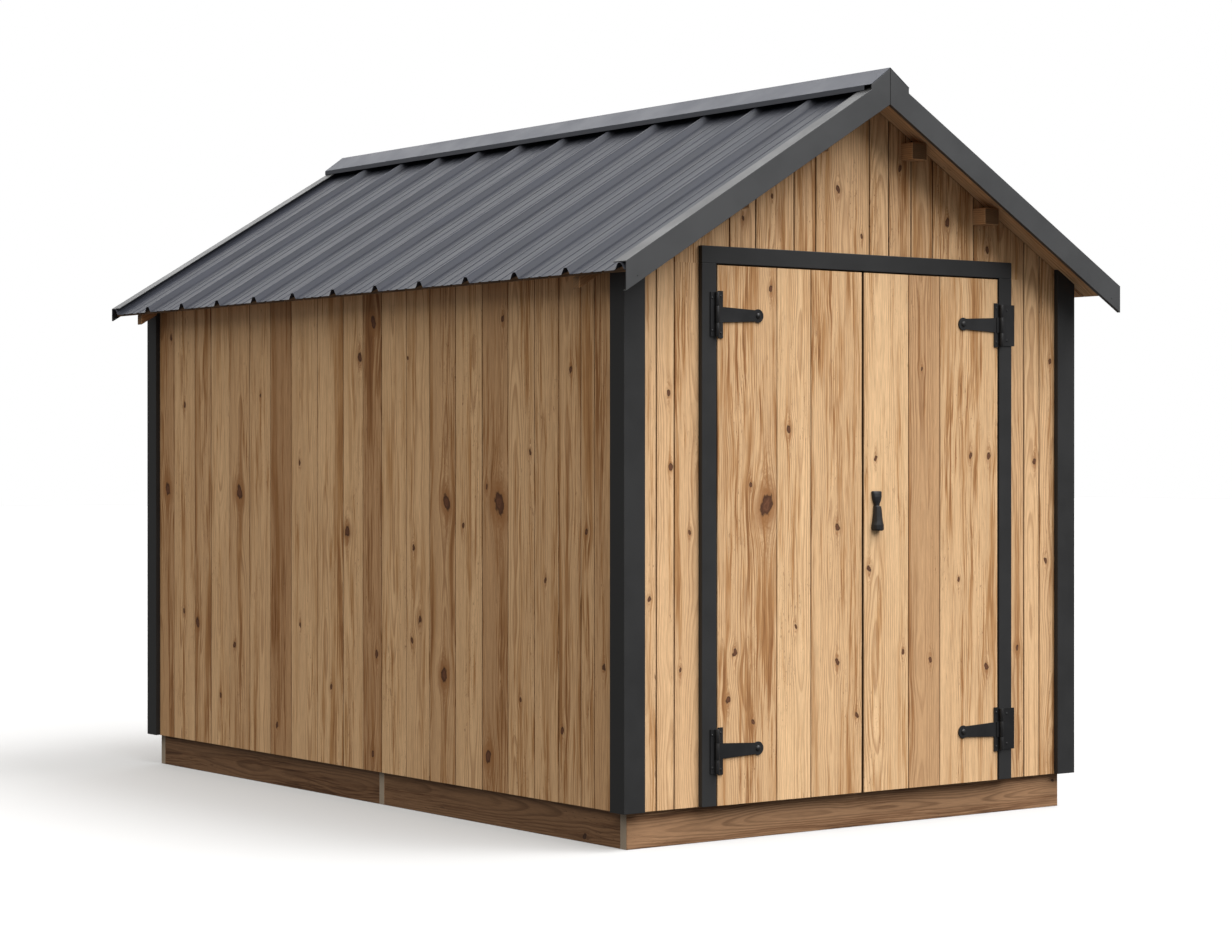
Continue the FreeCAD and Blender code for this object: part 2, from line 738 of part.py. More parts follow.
def make_leaf(name, side):
    yield side_box(
        f"{name}_door_boards", side, "meeting_gap / 2", "leaf_width",
        f"-{LEAF_FRONT_Y}", "leaf_thick", SIDING_FOOT, "leaf_height",
    )
    lowest, highest = HINGE_LEVELS.values()
    centres = [lowest, f"(({lowest} + {highest}) / 2)", highest]
    inner = "(meeting_gap / 2 + ledge_inset)"
    outer = "(meeting_gap / 2 + leaf_width - ledge_inset)"
    yield joined(
        f"{name}_door_ledges",
        [
            side_box(
                f"{name}_ledge_{number}", side, inner, f"{outer} - {inner}",
                f"-{LEAF_BACK_Y}", "ledge_thick", f"{centre} - ledge_tall / 2", "ledge_tall",
            )
            for number, centre in enumerate(centres, start=1)
        ],
    )
    braces = []
    for number, (below, above) in enumerate(zip(centres, centres[1:]), start=1):
        foot = f"{below} + ledge_tall / 2"
        head = f"{above} - ledge_tall / 2"
        corners = [
            (f"{side} * {outer}", foot),
            (f"{side} * ({outer} - brace_wide)", foot),
            (f"{side} * {inner}", head),
            (f"{side} * ({inner} + brace_wide)", head),
        ]
        braces.append(
            prism(f"{name}_brace_{number}", corners, f"-{LEAF_BACK_Y}", "ledge_thick")
        )
    yield joined(f"{name}_door_braces", braces)
    yield joined(
        f"{name}_door_hinge_straps",
        [make_strap(name, side, level, centre) for level, centre in HINGE_LEVELS.items()],
    )


def make_door_handle():
    """A forged pull: a pad and a grip that swells towards its foot."""
    centre_x = "(meeting_gap / 2 + handle_out)"
    centre_z = f"({SIDING_FOOT} + handle_height)"
    plate = box(
        "handle_pad",
        (f"{centre_x} - pad_wide / 2", f"-{LEAF_FRONT_Y} - pad_thick", f"{centre_z} - pad_tall / 2"),
        ("pad_wide", "pad_thick", "pad_tall"),
    )
    grip = document.addObject("Part::Wedge", "handle_grip")
    grip.Placement.Rotation = FreeCAD.Rotation(FreeCAD.Vector(1, 0, 0), -90)
    for name, expression in (
        ("Xmin", "-neck_wide / 2"),
        ("Xmax", "neck_wide / 2"),
        ("Ymin", "0"),
        ("Ymax", "grip_tall"),
        ("Zmin", "-neck_proud"),
        ("Zmax", "0"),
        ("X2min", "-grip_wide / 2"),
        ("X2max", "grip_wide / 2"),
        ("Z2min", "-grip_proud"),
        ("Z2max", "0"),
    ):
        grip.setExpression(name, bound(expression))
    place(grip, x=centre_x, y=f"-{LEAF_FRONT_Y}", z=f"{centre_z} - pad_tall / 2")
    return joined("door_handle", [plate, grip])


def make_doors():
    yield joined(
        "hinge_plates",
        [
            make_frame_hinge(name, side, level, centre)
            for name, side in SIDES.items()
            for level, centre in HINGE_LEVELS.items()
        ],
    )
    for name, side in SIDES.items():
        yield from make_leaf(name, side)
    yield make_door_handle()


# ---------------------------------------------------------------- build and write

MAKERS = (
    make_base,
    make_walls,
    make_frame,
    make_roof_timbers,
    make_roof_metal,
    make_trims,
    make_doors,
)


def main():
    nodes = [piece for maker in MAKERS for piece in maker()]
    document.recompute()
    for item in document.Objects:
        if "Invalid" in item.State or "Error" in item.State:
            raise RuntimeError(f"{item.Label} failed: {item.State}")
    for piece in nodes:
        if piece.Shape.isNull() or not piece.Shape.isValid() or not piece.Shape.Solids:
            raise RuntimeError(f"{piece.Label} has no valid solid")
    os.makedirs("parts", exist_ok=True)
    for piece in nodes:
        piece.Shape.exportStep(f"parts/{piece.Label}.step")
    print(len(nodes), "nodes written")


main()
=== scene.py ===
import math
import random

import bmesh
import bpy
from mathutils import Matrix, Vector


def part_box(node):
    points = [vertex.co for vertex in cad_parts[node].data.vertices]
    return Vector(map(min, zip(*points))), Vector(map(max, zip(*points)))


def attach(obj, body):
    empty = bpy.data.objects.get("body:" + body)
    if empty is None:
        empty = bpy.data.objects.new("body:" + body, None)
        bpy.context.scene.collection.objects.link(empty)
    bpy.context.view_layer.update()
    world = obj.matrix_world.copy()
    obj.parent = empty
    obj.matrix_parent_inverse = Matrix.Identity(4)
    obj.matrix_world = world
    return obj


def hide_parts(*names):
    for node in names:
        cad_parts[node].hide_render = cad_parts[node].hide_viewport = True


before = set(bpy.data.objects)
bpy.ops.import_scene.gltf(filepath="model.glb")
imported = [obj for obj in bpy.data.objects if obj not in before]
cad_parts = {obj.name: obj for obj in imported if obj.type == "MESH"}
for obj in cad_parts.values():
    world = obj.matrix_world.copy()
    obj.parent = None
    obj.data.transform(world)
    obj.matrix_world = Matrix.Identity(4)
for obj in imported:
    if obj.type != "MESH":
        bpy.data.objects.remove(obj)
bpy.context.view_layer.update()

scene = bpy.context.scene

# ---- sizes the looks share

ROOF_SLOPE = 0.6  # rise over run
ROOF_STEEP = math.sqrt(1 + ROOF_SLOPE ** 2)
DECK_THICK = 0.016
DECK_END = 0.012  # board ends inside the sloping ends of the deck
DECK_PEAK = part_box("roof_deck_left")[1].z  # top of the roof boards on the ridge line
UNDER_PEAK = DECK_PEAK - DECK_THICK * ROOF_STEEP  # and their underside
RAKE_PROUD = 0.025  # rake trims over the roof boards, square to the slope
RAKE_PEAK = DECK_PEAK + RAKE_PROUD * ROOF_STEEP  # top of the rake trims, carried to the ridge line
WALL_TOP_GAP = 0.0005  # boards stop just under the roof boards
GAP = 0.0036  # open joint between two boards
CHAMFER = 0.0016  # eased edge of a board
ROW = 0.16  # boards are modelled in rows this tall
TONGUE_OUT, TONGUE_IN = 0.40, 0.62  # faces of a board's tongue, in shares of its thickness
TONGUE_REACH = 0.0004  # a tongue enters the next board, so that no light comes through
SAME_POINT = 0.00002  # corners closer than this are one
RIB_FIRST = 0.030  # edge of the roof sheet to the first rib
RIB_COUNT = 13
SHEET_LIFT = 0.002  # top of the pan over the roof boards
RIB_TALL = 0.020
RIB_BASE = 0.048
RIB_CREST = 0.016
SHEET_SKIN = 0.0011
SWAGE = 0.0018  # shallow stiffening folds between the ribs
RIB_CUT = 0.011  # rib ends are cut back at the eave
HINGE_LOW = 0.310  # centres of the hinges
HINGE_HIGH = 1.785


def under_roof(x):
    """Height of the underside of the roof boards."""
    return UNDER_PEAK - ROOF_SLOPE * abs(x)


# ---- camera

CAMERA_PLACE = (-6.5925, -9.1324, 1.2997)
CAMERA_LENS = 82.28
CAMERA_SENSOR = 36
CAMERA_YAW = 36.549
CAMERA_PITCH = -0.118

camera_data = bpy.data.cameras.new("camera")
camera_data.lens = CAMERA_LENS
camera_data.sensor_width = CAMERA_SENSOR
camera = bpy.data.objects.new("camera", camera_data)
camera.location = CAMERA_PLACE
camera.rotation_euler = (math.radians(90 + CAMERA_PITCH), 0, math.radians(-CAMERA_YAW))
scene.collection.objects.link(camera)
scene.camera = camera

# ---- materials


class Shade:
    """A node material being put together."""

    def __init__(self, name):
        self.material = bpy.data.materials.new(name)
        self.material.use_nodes = True
        self.nodes = self.material.node_tree.nodes
        self.links = self.material.node_tree.links
        self.nodes.clear()
        self.out = self.nodes.new("ShaderNodeOutputMaterial")
        self.shader = self.nodes.new("ShaderNodeBsdfPrincipled")
        self.links.new(self.shader.outputs[0], self.out.inputs[0])

    def put(self, socket, value):
        if isinstance(value, bpy.types.NodeSocket):
            self.links.new(value, socket)
        else:
            socket.default_value = value

    def attribute(self, name):
        node = self.nodes.new("ShaderNodeAttribute")
        node.attribute_name = name
        return node

    def split(self, vector):
        node = self.nodes.new("ShaderNodeSeparateXYZ")
        self.put(node.inputs[0], vector)
        return node.outputs

    def join(self, x, y, z):
        node = self.nodes.new("ShaderNodeCombineXYZ")
        for socket, value in zip(node.inputs, (x, y, z)):
            self.put(socket, value)
        return node.outputs[0]

    def math(self, operation, *values, clamp=False):
        node = self.nodes.new("ShaderNodeMath")
        node.operation = operation
        node.use_clamp = clamp
        for socket, value in zip(node.inputs, values):
            self.put(socket, value)
        return node.outputs[0]

    def times(self, first, second, clamp=False):
        return self.math("MULTIPLY", first, second, clamp=clamp)

    def times_plus(self, first, second, third):
        """First times second, plus third."""
        return self.math("MULTIPLY_ADD", first, second, third)

    def plus(self, first, second):
        return self.math("ADD", first, second)

    def minus(self, first, second):
        return self.math("SUBTRACT", first, second)

    def square(self, value):
        return self.times(value, value)

    def noise(self, vector, scale=1.0, detail=2.0, roughness=0.5, distortion=0.0):
        node = self.nodes.new("ShaderNodeTexNoise")
        self.put(node.inputs["Vector"], vector)
        for name, value in (
            ("Scale", scale), ("Detail", detail), ("Roughness", roughness), ("Distortion", distortion)
        ):
            node.inputs[name].default_value = value
        return node.outputs[0]

    def span(self, value, low, high, to_low=0.0, to_high=1.0):
        """A soft step from one value to another."""
        node = self.nodes.new("ShaderNodeMapRange")
        node.interpolation_type = "SMOOTHSTEP"
        for socket, item in zip(node.inputs, (value, low, high, to_low, to_high)):
            self.put(socket, item)
        return node.outputs[0]

    def bell(self, x, z, size, wide, tall):
        """One at the middle of a knot, falling away over a number of knot radii."""
        across = self.math("DIVIDE", x, self.times(size, wide))
        along = self.math("DIVIDE", z, self.times(size, tall))
        return self.math("EXPONENT", self.times(self.plus(self.square(across), self.square(along)), -1.0))

    def ramp(self, value, stops):
        """A colour that runs through some stops, each (value, colour)."""
        node = self.nodes.new("ShaderNodeValToRGB")
        elements = node.color_ramp.elements
        while len(elements) < len(stops):
            elements.new(0.5)
        for element, (position, colour) in zip(elements, stops):
            element.position = position
            element.color = rgb(*colour)
        self.put(node.inputs[0], value)
        return node.outputs[0]

    def mix(self, factor, first, second, blend="MIX"):
        node = self.nodes.new("ShaderNodeMix")
        node.data_type = "RGBA"
        node.blend_type = blend
        self.put(node.inputs[0], factor)
        self.put(node.inputs[6], first)
        self.put(node.inputs[7], second)
        return node.outputs[2]

    def bump(self, height, strength, distance):
        node = self.nodes.new("ShaderNodeBump")
        node.inputs["Strength"].default_value = strength
        node.inputs["Distance"].default_value = distance
        self.put(node.inputs["Height"], height)
        self.put(self.shader.inputs["Normal"], node.outputs[0])


def rgb(red, green, blue):
    return (red, green, blue, 1.0)


RINGS_PER_METRE = 145.0
KNOT_SQUASH = 0.70  # knots are this much longer along the board
KNOT_SLOTS = ("knot_a", "knot_b")
NO_KNOT = (9.0, 0.0, 0.01)


def make_wood(name, light, brown, dark, knot, end, lines=0.50, rough=0.72):
    """Sawn softwood. Growth rings round a pith, so that faces, edges and ends agree.

    It reads where a point lies in its own board: across, depth and along, in metres.
    """
    s = Shade(name)
    across, depth, along = s.split(s.attribute("grain").outputs["Vector"])
    tone, streak, seed = s.split(s.attribute("board").outputs["Vector"])
    # how much painted shade a point gets in the joints between boards
    seam_shade = s.attribute("seam_shade").outputs["Fac"]
    cut_end = s.attribute("cut_end").outputs["Fac"]

    # distance from each of two knots, in knot radii, longer along the board
    rag = s.noise(s.join(s.times(across, 70), seed, s.times(along, 45)), 1.0, 3.0)
    reach, bent, tail, big = None, 0.0, 0.0, 0.0
    for slot in KNOT_SLOTS:
        knot_across, knot_along, knot_size = s.split(s.attribute(slot).outputs["Vector"])
        knot_x = s.minus(across, knot_across)
        knot_z = s.times(s.minus(along, knot_along), KNOT_SQUASH)
        lean = s.times(s.math("SINE", s.times(knot_along, 37.0)), 0.30)
        tilted = s.times_plus(knot_z, lean, knot_x)
        away = s.math("SQRT", s.plus(s.square(tilted), s.square(knot_z)))
        away = s.math("DIVIDE", away, s.math("MAXIMUM", knot_size, 0.0005))
        ragged = s.span(knot_size, 0.006, 0.018, 2.1, 1.1)
        away = s.times_plus(s.minus(rag, 0.5), ragged, away)
        reach = away if reach is None else s.math("MINIMUM", reach, away)
        near = s.bell(knot_x, knot_z, knot_size, 2.8, 3.4)
        weight = s.times(s.bell(knot_x, knot_z, knot_size, 4.0, 5.0), s.span(knot_size, 0.006, 0.020))
        big = s.math("MAXIMUM", big, weight)
        bent = s.plus(bent, s.times(s.times(near, knot_x), 0.80))
        tail = s.math("MAXIMUM", tail, s.bell(knot_x, knot_z, knot_size, 1.0, 5.0))

    # the grain bows out round a knot and wanders slowly along the board
    bowed = s.minus(across, bent)
    shift = s.times(seed, 17.3)

    def drawn_out(place, fine, long, *looks):
        """Noise drawn out along the board: how fine across it and along it, then the noise's own values."""
        return s.noise(s.join(s.times(place, fine), shift, s.times(along, long)), 1.0, *looks)

    drift = s.noise(s.join(shift, s.times(across, 3.0), s.times(along, 1.3)), 1.0, 2.0)
    drift = s.minus(drift, 0.5)
    wave = drawn_out(across, 14.0, 5.0, 2.0)
    wave = s.minus(wave, 0.5)
    flow = s.plus(bowed, s.times(drift, 0.035))
    flow = s.plus(flow, s.times(wave, 0.012))

    # rings round a pith that lies behind the board and wanders, so that arches show in the face
    pith = s.times(s.minus(s.math("FRACT", s.times(seed, 13.7)), 0.5), 0.09)
    sink = s.plus(s.times(s.math("FRACT", s.times(seed, 5.3)), 0.05), 0.022)
    slant = s.times(s.minus(s.math("FRACT", s.times(seed, 9.1)), 0.5), 0.050)
    ring_x = s.minus(flow, pith)
    ring_y = s.plus(s.minus(depth, sink), s.times(slant, along))
    ring_y = s.plus(ring_y, s.times(drift, 0.060))
    radius = s.math("SQRT", s.plus(s.square(ring_x), s.square(ring_y)))
    year = s.math("FRACT", s.times(radius, RINGS_PER_METRE))
    late = s.times(s.span(year, 0.30, 0.82), s.span(year, 0.86, 1.0, 1.0, 0.0))
    fade = drawn_out(radius, 40.0, 1.2, 2.0)
    late = s.times(late, s.span(fade, 0.36, 0.60, 0.25, 1.0))

    # brown streaks, threads and fine fibres, all drawn out along the board
    wide = drawn_out(flow, 20.0, 0.9, 3.0, 0.55, 0.3)
    middling = drawn_out(flow, 62.0, 2.0, 3.0, 0.60, 0.5)
    thin = drawn_out(flow, 170.0, 4.5, 3.0, 0.60, 0.4)
    fibre = s.noise(
        s.join(s.times(flow, 520.0), s.times(depth, 420.0), s.times(along, 18.0)),
        1.0, 2.0, 0.6,
    )
    fleck = drawn_out(flow, 210.0, 34.0, 3.0, 0.60, 0.9)
    patch = drawn_out(across, 9.0, 2.6, 2.0, 0.5)

    # one value from pale to brown, then the growth rings, the tone of the board and the flecks;
    # some stretches of a board are calm and others busy
    busy = drawn_out(flow, 13.0, 1.7, 2.0, 0.5)
    busy = s.span(busy, 0.40, 0.60, 0.25, 1.45)
    value = s.times(s.minus(wide, 0.5), s.times_plus(streak, 2.3, 0.6))
    rough_part = s.times(s.minus(middling, 0.5), s.times_plus(streak, 1.5, 0.6))
    rough_part = s.times_plus(s.minus(thin, 0.5), s.times_plus(streak, 1.6, 0.8), rough_part)
    value = s.times_plus(rough_part, busy, value)
    value = s.plus(value, s.times_plus(streak, 0.16, 0.30))
    colour = s.ramp(value, ((0.10, [c * 1.07 for c in light]), (0.36, light), (0.66, brown), (1.0, dark)))
    colour = s.mix(s.times(late, lines), colour, rgb(*dark))
    shaded = s.mix(1.0, colour, rgb(*[d / l for d, l in zip(dark, light)]), "MULTIPLY")
    colour = s.mix(tone, colour, shaded)
    fibres = s.span(fibre, 0.3, 0.7, 1.10, 0.86)
    colour = s.mix(1.0, colour, s.join(fibres, fibres, fibres), "MULTIPLY")
    flecks = s.times(s.span(fleck, 0.60, 0.68), s.span(patch, 0.44, 0.60), clamp=True)
    flecks = s.times(flecks, s.span(busy, 0.4, 1.2, 0.1, 1.0))
    colour = s.mix(s.times(flecks, 0.75), colour, rgb(*[(k + d) / 2 for k, d in zip(knot, dark)]))

    # knots: a smudge up and down the grain, a brown halo and a ringed middle
    torn = drawn_out(flow, 120.0, 42.0, 3.0, 0.65, 1.2)
    colour = s.mix(s.times(tail, s.span(torn, 0.42, 0.58, 0.05, 0.85)), colour, rgb(*dark))
    halo = s.times(s.span(reach, 0.9, 3.2, 0.90, 0.0), s.times_plus(big, 0.75, 0.25))
    colour = s.mix(halo, colour, rgb(*dark))
    eye = s.span(reach, 0.75, 1.10, 1.0, 0.0)
    swirl = s.span(s.math("SINE", s.times(reach, 15.0)), -0.6, 0.9, 0.0, 0.45)
    heart = s.mix(swirl, rgb(*[k * 1.9 for k in knot]), rgb(*knot))
    heart = s.mix(s.span(reach, 0.45, 0.85), heart, rgb(*[k * 0.8 for k in knot]))
    colour = s.mix(eye, colour, heart)

    # sawn ends are greyer; the joints between boards and the eased edges beside them get painted shade
    ends = s.mix(s.times(late, 0.5), rgb(*end), rgb(*[e * 0.6 for e in end]))
    colour = s.mix(cut_end, colour, ends)
    colour = s.mix(s.times(seam_shade, 0.95), colour, rgb(*[k * 0.3 for k in knot]))
    s.put(s.shader.inputs["Base Color"], colour)
    s.put(s.shader.inputs["Roughness"], s.span(wide, 0.3, 0.7, rough - 0.06, rough + 0.06))
    s.shader.inputs["Specular IOR Level"].default_value = 0.22

    height = s.times(fibre, 0.35)
    height = s.minus(height, s.times(late, 0.30))
    height = s.minus(height, s.times(flecks, 0.5))
    height = s.minus(height, s.times(eye, 0.6))
    s.bump(height, 0.5, 0.0012)
    return s.material


def make_metal(
    name, colour, rough, mottle, grain_scale, bump, metallic=0.0, stretch=(1, 1, 1), specular=0.5, joint=0.0
):
    """Painted or blackened metal: a slightly uneven colour and sheen, fine surface texture.

    joint is the half width of a dark butt joint on the middle line.
    """
    s = Shade(name)
    place = s.nodes.new("ShaderNodeTexCoord").outputs["Object"]
    x, y, z = s.split(place)
    drawn = s.join(
        s.times(x, stretch[0]), s.times(y, stretch[1]), s.times(z, stretch[2])
    )
    cloud = s.noise(drawn, 5.0, 4.0, 0.6)
    grit = s.noise(place, grain_scale, 3.0, 0.6)
    low = rgb(*[c * (1 - mottle) for c in colour])
    high = rgb(*[c * (1 + mottle) for c in colour])
    paint = s.mix(s.span(cloud, 0.3, 0.7), low, high)
    if joint:
        dark = s.span(s.math("ABSOLUTE", x), joint * 0.6, joint, 1.0, 0.0)
        paint = s.mix(dark, paint, rgb(0.004, 0.004, 0.004))
    s.put(s.shader.inputs["Base Color"], paint)
    s.put(s.shader.inputs["Roughness"], s.span(cloud, 0.3, 0.7, rough - 0.05, rough + 0.07))
    s.shader.inputs["Metallic"].default_value = metallic
    s.shader.inputs["Specular IOR Level"].default_value = specular
    s.bump(grit, bump, 0.0006)
    return s.material


CLADDING = make_wood(
    "cladding", (0.68, 0.440, 0.240), (0.46, 0.245, 0.100), (0.285, 0.128, 0.046),
    (0.070, 0.028, 0.013), (0.40, 0.29, 0.19),
)
DOOR_WOOD = make_wood(
    "door_boards", (0.69, 0.455, 0.25), (0.47, 0.250, 0.102), (0.285, 0.128, 0.046),
    (0.070, 0.028, 0.013), (0.40, 0.29, 0.19),
)
BASE_WOOD = make_wood(
    "base_timber", (0.325, 0.182, 0.095), (0.215, 0.108, 0.052), (0.105, 0.050, 0.023),
    (0.030, 0.014, 0.008), (0.33, 0.265, 0.20), lines=0.5,
)
FRAME_WOOD = make_wood(
    "frame_timber", (0.64, 0.46, 0.28), (0.50, 0.31, 0.16), (0.36, 0.19, 0.085),
    (0.10, 0.045, 0.022), (0.45, 0.34, 0.23),
)
FLOOR_WOOD = make_wood(
    "floor_boards", (0.52, 0.36, 0.21), (0.38, 0.23, 0.118), (0.26, 0.14, 0.062),
    (0.085, 0.036, 0.018), (0.38, 0.28, 0.19),
)
# its sawn ends are dark brown: painted shade for the timber ends under the eaves
SOFFIT_WOOD = make_wood(
    "soffit_boards", (0.70, 0.45, 0.25), (0.52, 0.29, 0.135), (0.33, 0.155, 0.062),
    (0.075, 0.030, 0.015), (0.19, 0.105, 0.050),
)
BLACK_TRIM = make_metal("black_trim_paint", (0.0175, 0.0175, 0.018), 0.50, 0.07, 220.0, 0.10, specular=0.35)
RAKE_PAINT = make_metal(
    "rake_paint", (0.049, 0.050, 0.052), 0.46, 0.05, 160.0, 0.06, specular=0.4, joint=0.0022
)
ROOF_PAINT = make_metal(
    "roof_paint", (0.033, 0.0355, 0.046), 0.50, 0.16, 120.0, 0.05, stretch=(0.6, 7.0, 0.6), specular=0.16
)
# the cap is lighter than the roof: its paint, plus painted light that makes up for the dimmer light on its
# wings
CAP_PAINT_AND_LIGHT = make_metal("cap_paint_and_light", (0.088, 0.093, 0.110), 0.52, 0.02, 120.0, 0.03, specular=0.15)
BLACK_IRON = make_metal("black_iron", (0.016, 0.016, 0.017), 0.42, 0.30, 420.0, 0.35, metallic=0.35)

# ---- meshes of boards


class Place:
    """Where a board lies: a corner, and the ways across it, out of its face and along it."""

    def __init__(self, corner, across, out, along):
        self.corner = Vector(corner)
        self.across = Vector(across)
        self.out = Vector(out)
        self.along = Vector(along)

    def point(self, u, n, v):
        return self.corner + self.across * u + self.out * n + self.along * v


class Boards:
    """Boards gathered into one mesh, with what the wood material reads about each."""

    def __init__(self):
        self.points = []
        self.grain = []
        self.seam_shade = []
        self.faces = []
        self.board = []
        self.knots = ([], [])
        self.cut_end = []

    def face(self, corners, look, knots, cut_end=0.0):
        self.faces.append(corners)
        self.board.append(look)
        for slot, knot in zip(self.knots, knots):
            slot.append(knot)
        self.cut_end.append(cut_end)

    def add(self, place, start, stop, foot, top, thick, look, knots=(), peak=None, gap=GAP, ends=True):
        """One board from start to stop across and foot to top along.

        foot is a height and top a function of the distance across. look is (tone, streak, seed),
        knots are (across, along, radius), and peak is where the top line has its corner.
        """
        chance = random.Random(round(look[2] * 1000))
        sunk = chance.uniform(0.0, 0.0011)
        middle = (start + stop) / 2
        low = min(top(start), top(stop))
        rows = max(2, round((low - foot) / ROW))
        lean = [chance.uniform(-0.0004, 0.0004) for step in range(2 * (rows + 1))]
        half = gap / 2
        # outline across the board: across, depth, and the share of painted shade on joint faces and eased
        # edges
        skin = [
            (start + half, -thick, 0.0),
            (start + half, -thick * TONGUE_OUT, 1.0),
            (start + half, -sunk - CHAMFER * 1.6, 0.55),
            (start + half + CHAMFER, -sunk, 0.0),
        ]
        if peak is not None:
            skin.append((peak, -sunk, 0.0))
        skin += [
            (stop - half - CHAMFER, -sunk, 0.0),
            (stop - half, -sunk - CHAMFER * 1.6, 0.55),
            (stop - half, -thick * TONGUE_OUT, 1.0),
            (stop + half + TONGUE_REACH, -thick * TONGUE_OUT, 1.0),
            (stop + half + TONGUE_REACH, -thick * TONGUE_IN, 1.0),
            (stop - half, -thick * TONGUE_IN, 0.0),
            (stop - half, -thick, 0.0),
        ]
        if peak is not None:
            skin.append((peak, -thick, 0.0))
        first = len(self.points)
        levels = [foot + (low - foot) * step / rows for step in range(rows)]
        for row in range(rows + 1):
            for u, n, dark in skin:
                bow = 0.0
                if n > -thick * 0.3:
                    bow = lean[row] if u < middle else lean[rows + 1 + row]
                v = levels[row] if row < rows else top(u)
                self.points.append(place.point(u + bow, n, v))
                self.grain.append((u - middle, n, v))
                self.seam_shade.append(dark)
        count = len(skin)
        marks = [(u - middle, v, r) for u, v, r in knots] + [NO_KNOT] * 2
        for row in range(rows):
            height = levels[row] + (low - foot) / rows / 2
            nearest = sorted(marks, key=lambda k: (k[0] > 8, abs(k[1] - height) - 4 * k[2]))[:2]
            base = first + row * count
            for step in range(count):
                after = (step + 1) % count
                self.face(
                    (base + step, base + after, base + count + after, base + count + step),
                    look, nearest,
                )
        if ends:
            none = (NO_KNOT, NO_KNOT)
            foot_face = tuple(first + step for step in reversed(range(count)))
            top_face = tuple(first + rows * count + step for step in range(count))
            for corners in (foot_face, top_face):
                self.face(corners, look, none, 1.0)

    def piece(self, name, material, body, slot, *nodes):
        mesh = bpy.data.meshes.new(name)
        mesh.from_pydata([tuple(p) for p in self.points], [], self.faces)
        write_looks(mesh, self.grain, self.seam_shade, self.board, self.knots, self.cut_end)
        turn_outwards(mesh)
        return add_piece(name, mesh, material, body, slot, *nodes)


def write_looks(mesh, grain, seam_shade, board, knots, cut_end):
    for name, kind, domain, field, rows in (
        ("grain", "FLOAT_VECTOR", "POINT", "vector", grain),
        ("seam_shade", "FLOAT", "POINT", "value", seam_shade),
        ("board", "FLOAT_VECTOR", "FACE", "vector", board),
        ("knot_a", "FLOAT_VECTOR", "FACE", "vector", knots[0]),
        ("knot_b", "FLOAT_VECTOR", "FACE", "vector", knots[1]),
        ("cut_end", "FLOAT", "FACE", "value", cut_end),
    ):
        flat = [x for row in rows for x in row] if field == "vector" else list(rows)
        mesh.attributes.new(name, kind, domain).data.foreach_set(field, flat)


def turn_outwards(mesh):
    work = bmesh.new()
    work.from_mesh(mesh)
    bmesh.ops.recalc_face_normals(work, faces=work.faces)
    work.to_mesh(mesh)
    work.free()


def mesh_of(name, points, faces):
    """A mesh with its faces turned outwards."""
    mesh = bpy.data.meshes.new(name)
    mesh.from_pydata([tuple(p) for p in points], [], faces)
    turn_outwards(mesh)
    return mesh


def ease_edges(piece, width, segments=1, angle=30):
    """Rounds the edges of a piece where its faces turn by more than an angle, in degrees."""
    bevel = piece.modifiers.new("eased", "BEVEL")
    bevel.width = width
    bevel.segments = segments
    bevel.limit_method = "ANGLE"
    bevel.angle_limit = math.radians(angle)


def add_piece(name, mesh, material, body, slot, *nodes):
    piece = bpy.data.objects.new(name, mesh)
    scene.collection.objects.link(piece)
    mesh.materials.append(material)
    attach(piece, body)
    if nodes:
        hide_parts(*nodes)
    return piece


def random_boards(chance, low, high, narrow, wide):
    """Edges and looks of boards of mixed width that fill a span."""
    edges = [low]
    while high - edges[-1] > wide * 1.35:
        edges.append(edges[-1] + chance.uniform(narrow, wide))
    edges.append(high)
    looks = []
    for start, stop in zip(edges, edges[1:]):
        tone = chance.choice((0.05, 0.1, 0.12, 0.15, 0.25, 0.3, 0.5, 0.85))
        looks.append((start, stop, tone, chance.uniform(0.25, 0.85)))
    return looks


def random_knots(chance, start, stop, foot, top, spacing):
    """A few knots up a board."""
    knots = []
    height = foot + chance.uniform(0.1, spacing)
    while height < top - 0.08:
        size = chance.choice((0.005, 0.006, 0.007, 0.009, 0.012, 0.018))
        knots.append((chance.uniform(start + 0.02, stop - 0.02), height, size))
        height += chance.uniform(spacing * 0.7, spacing * 1.9)
    return knots


def knots_between(knots, start, stop):
    return [k for k in knots if start < k[0] < stop]


# ---- side and rear walls

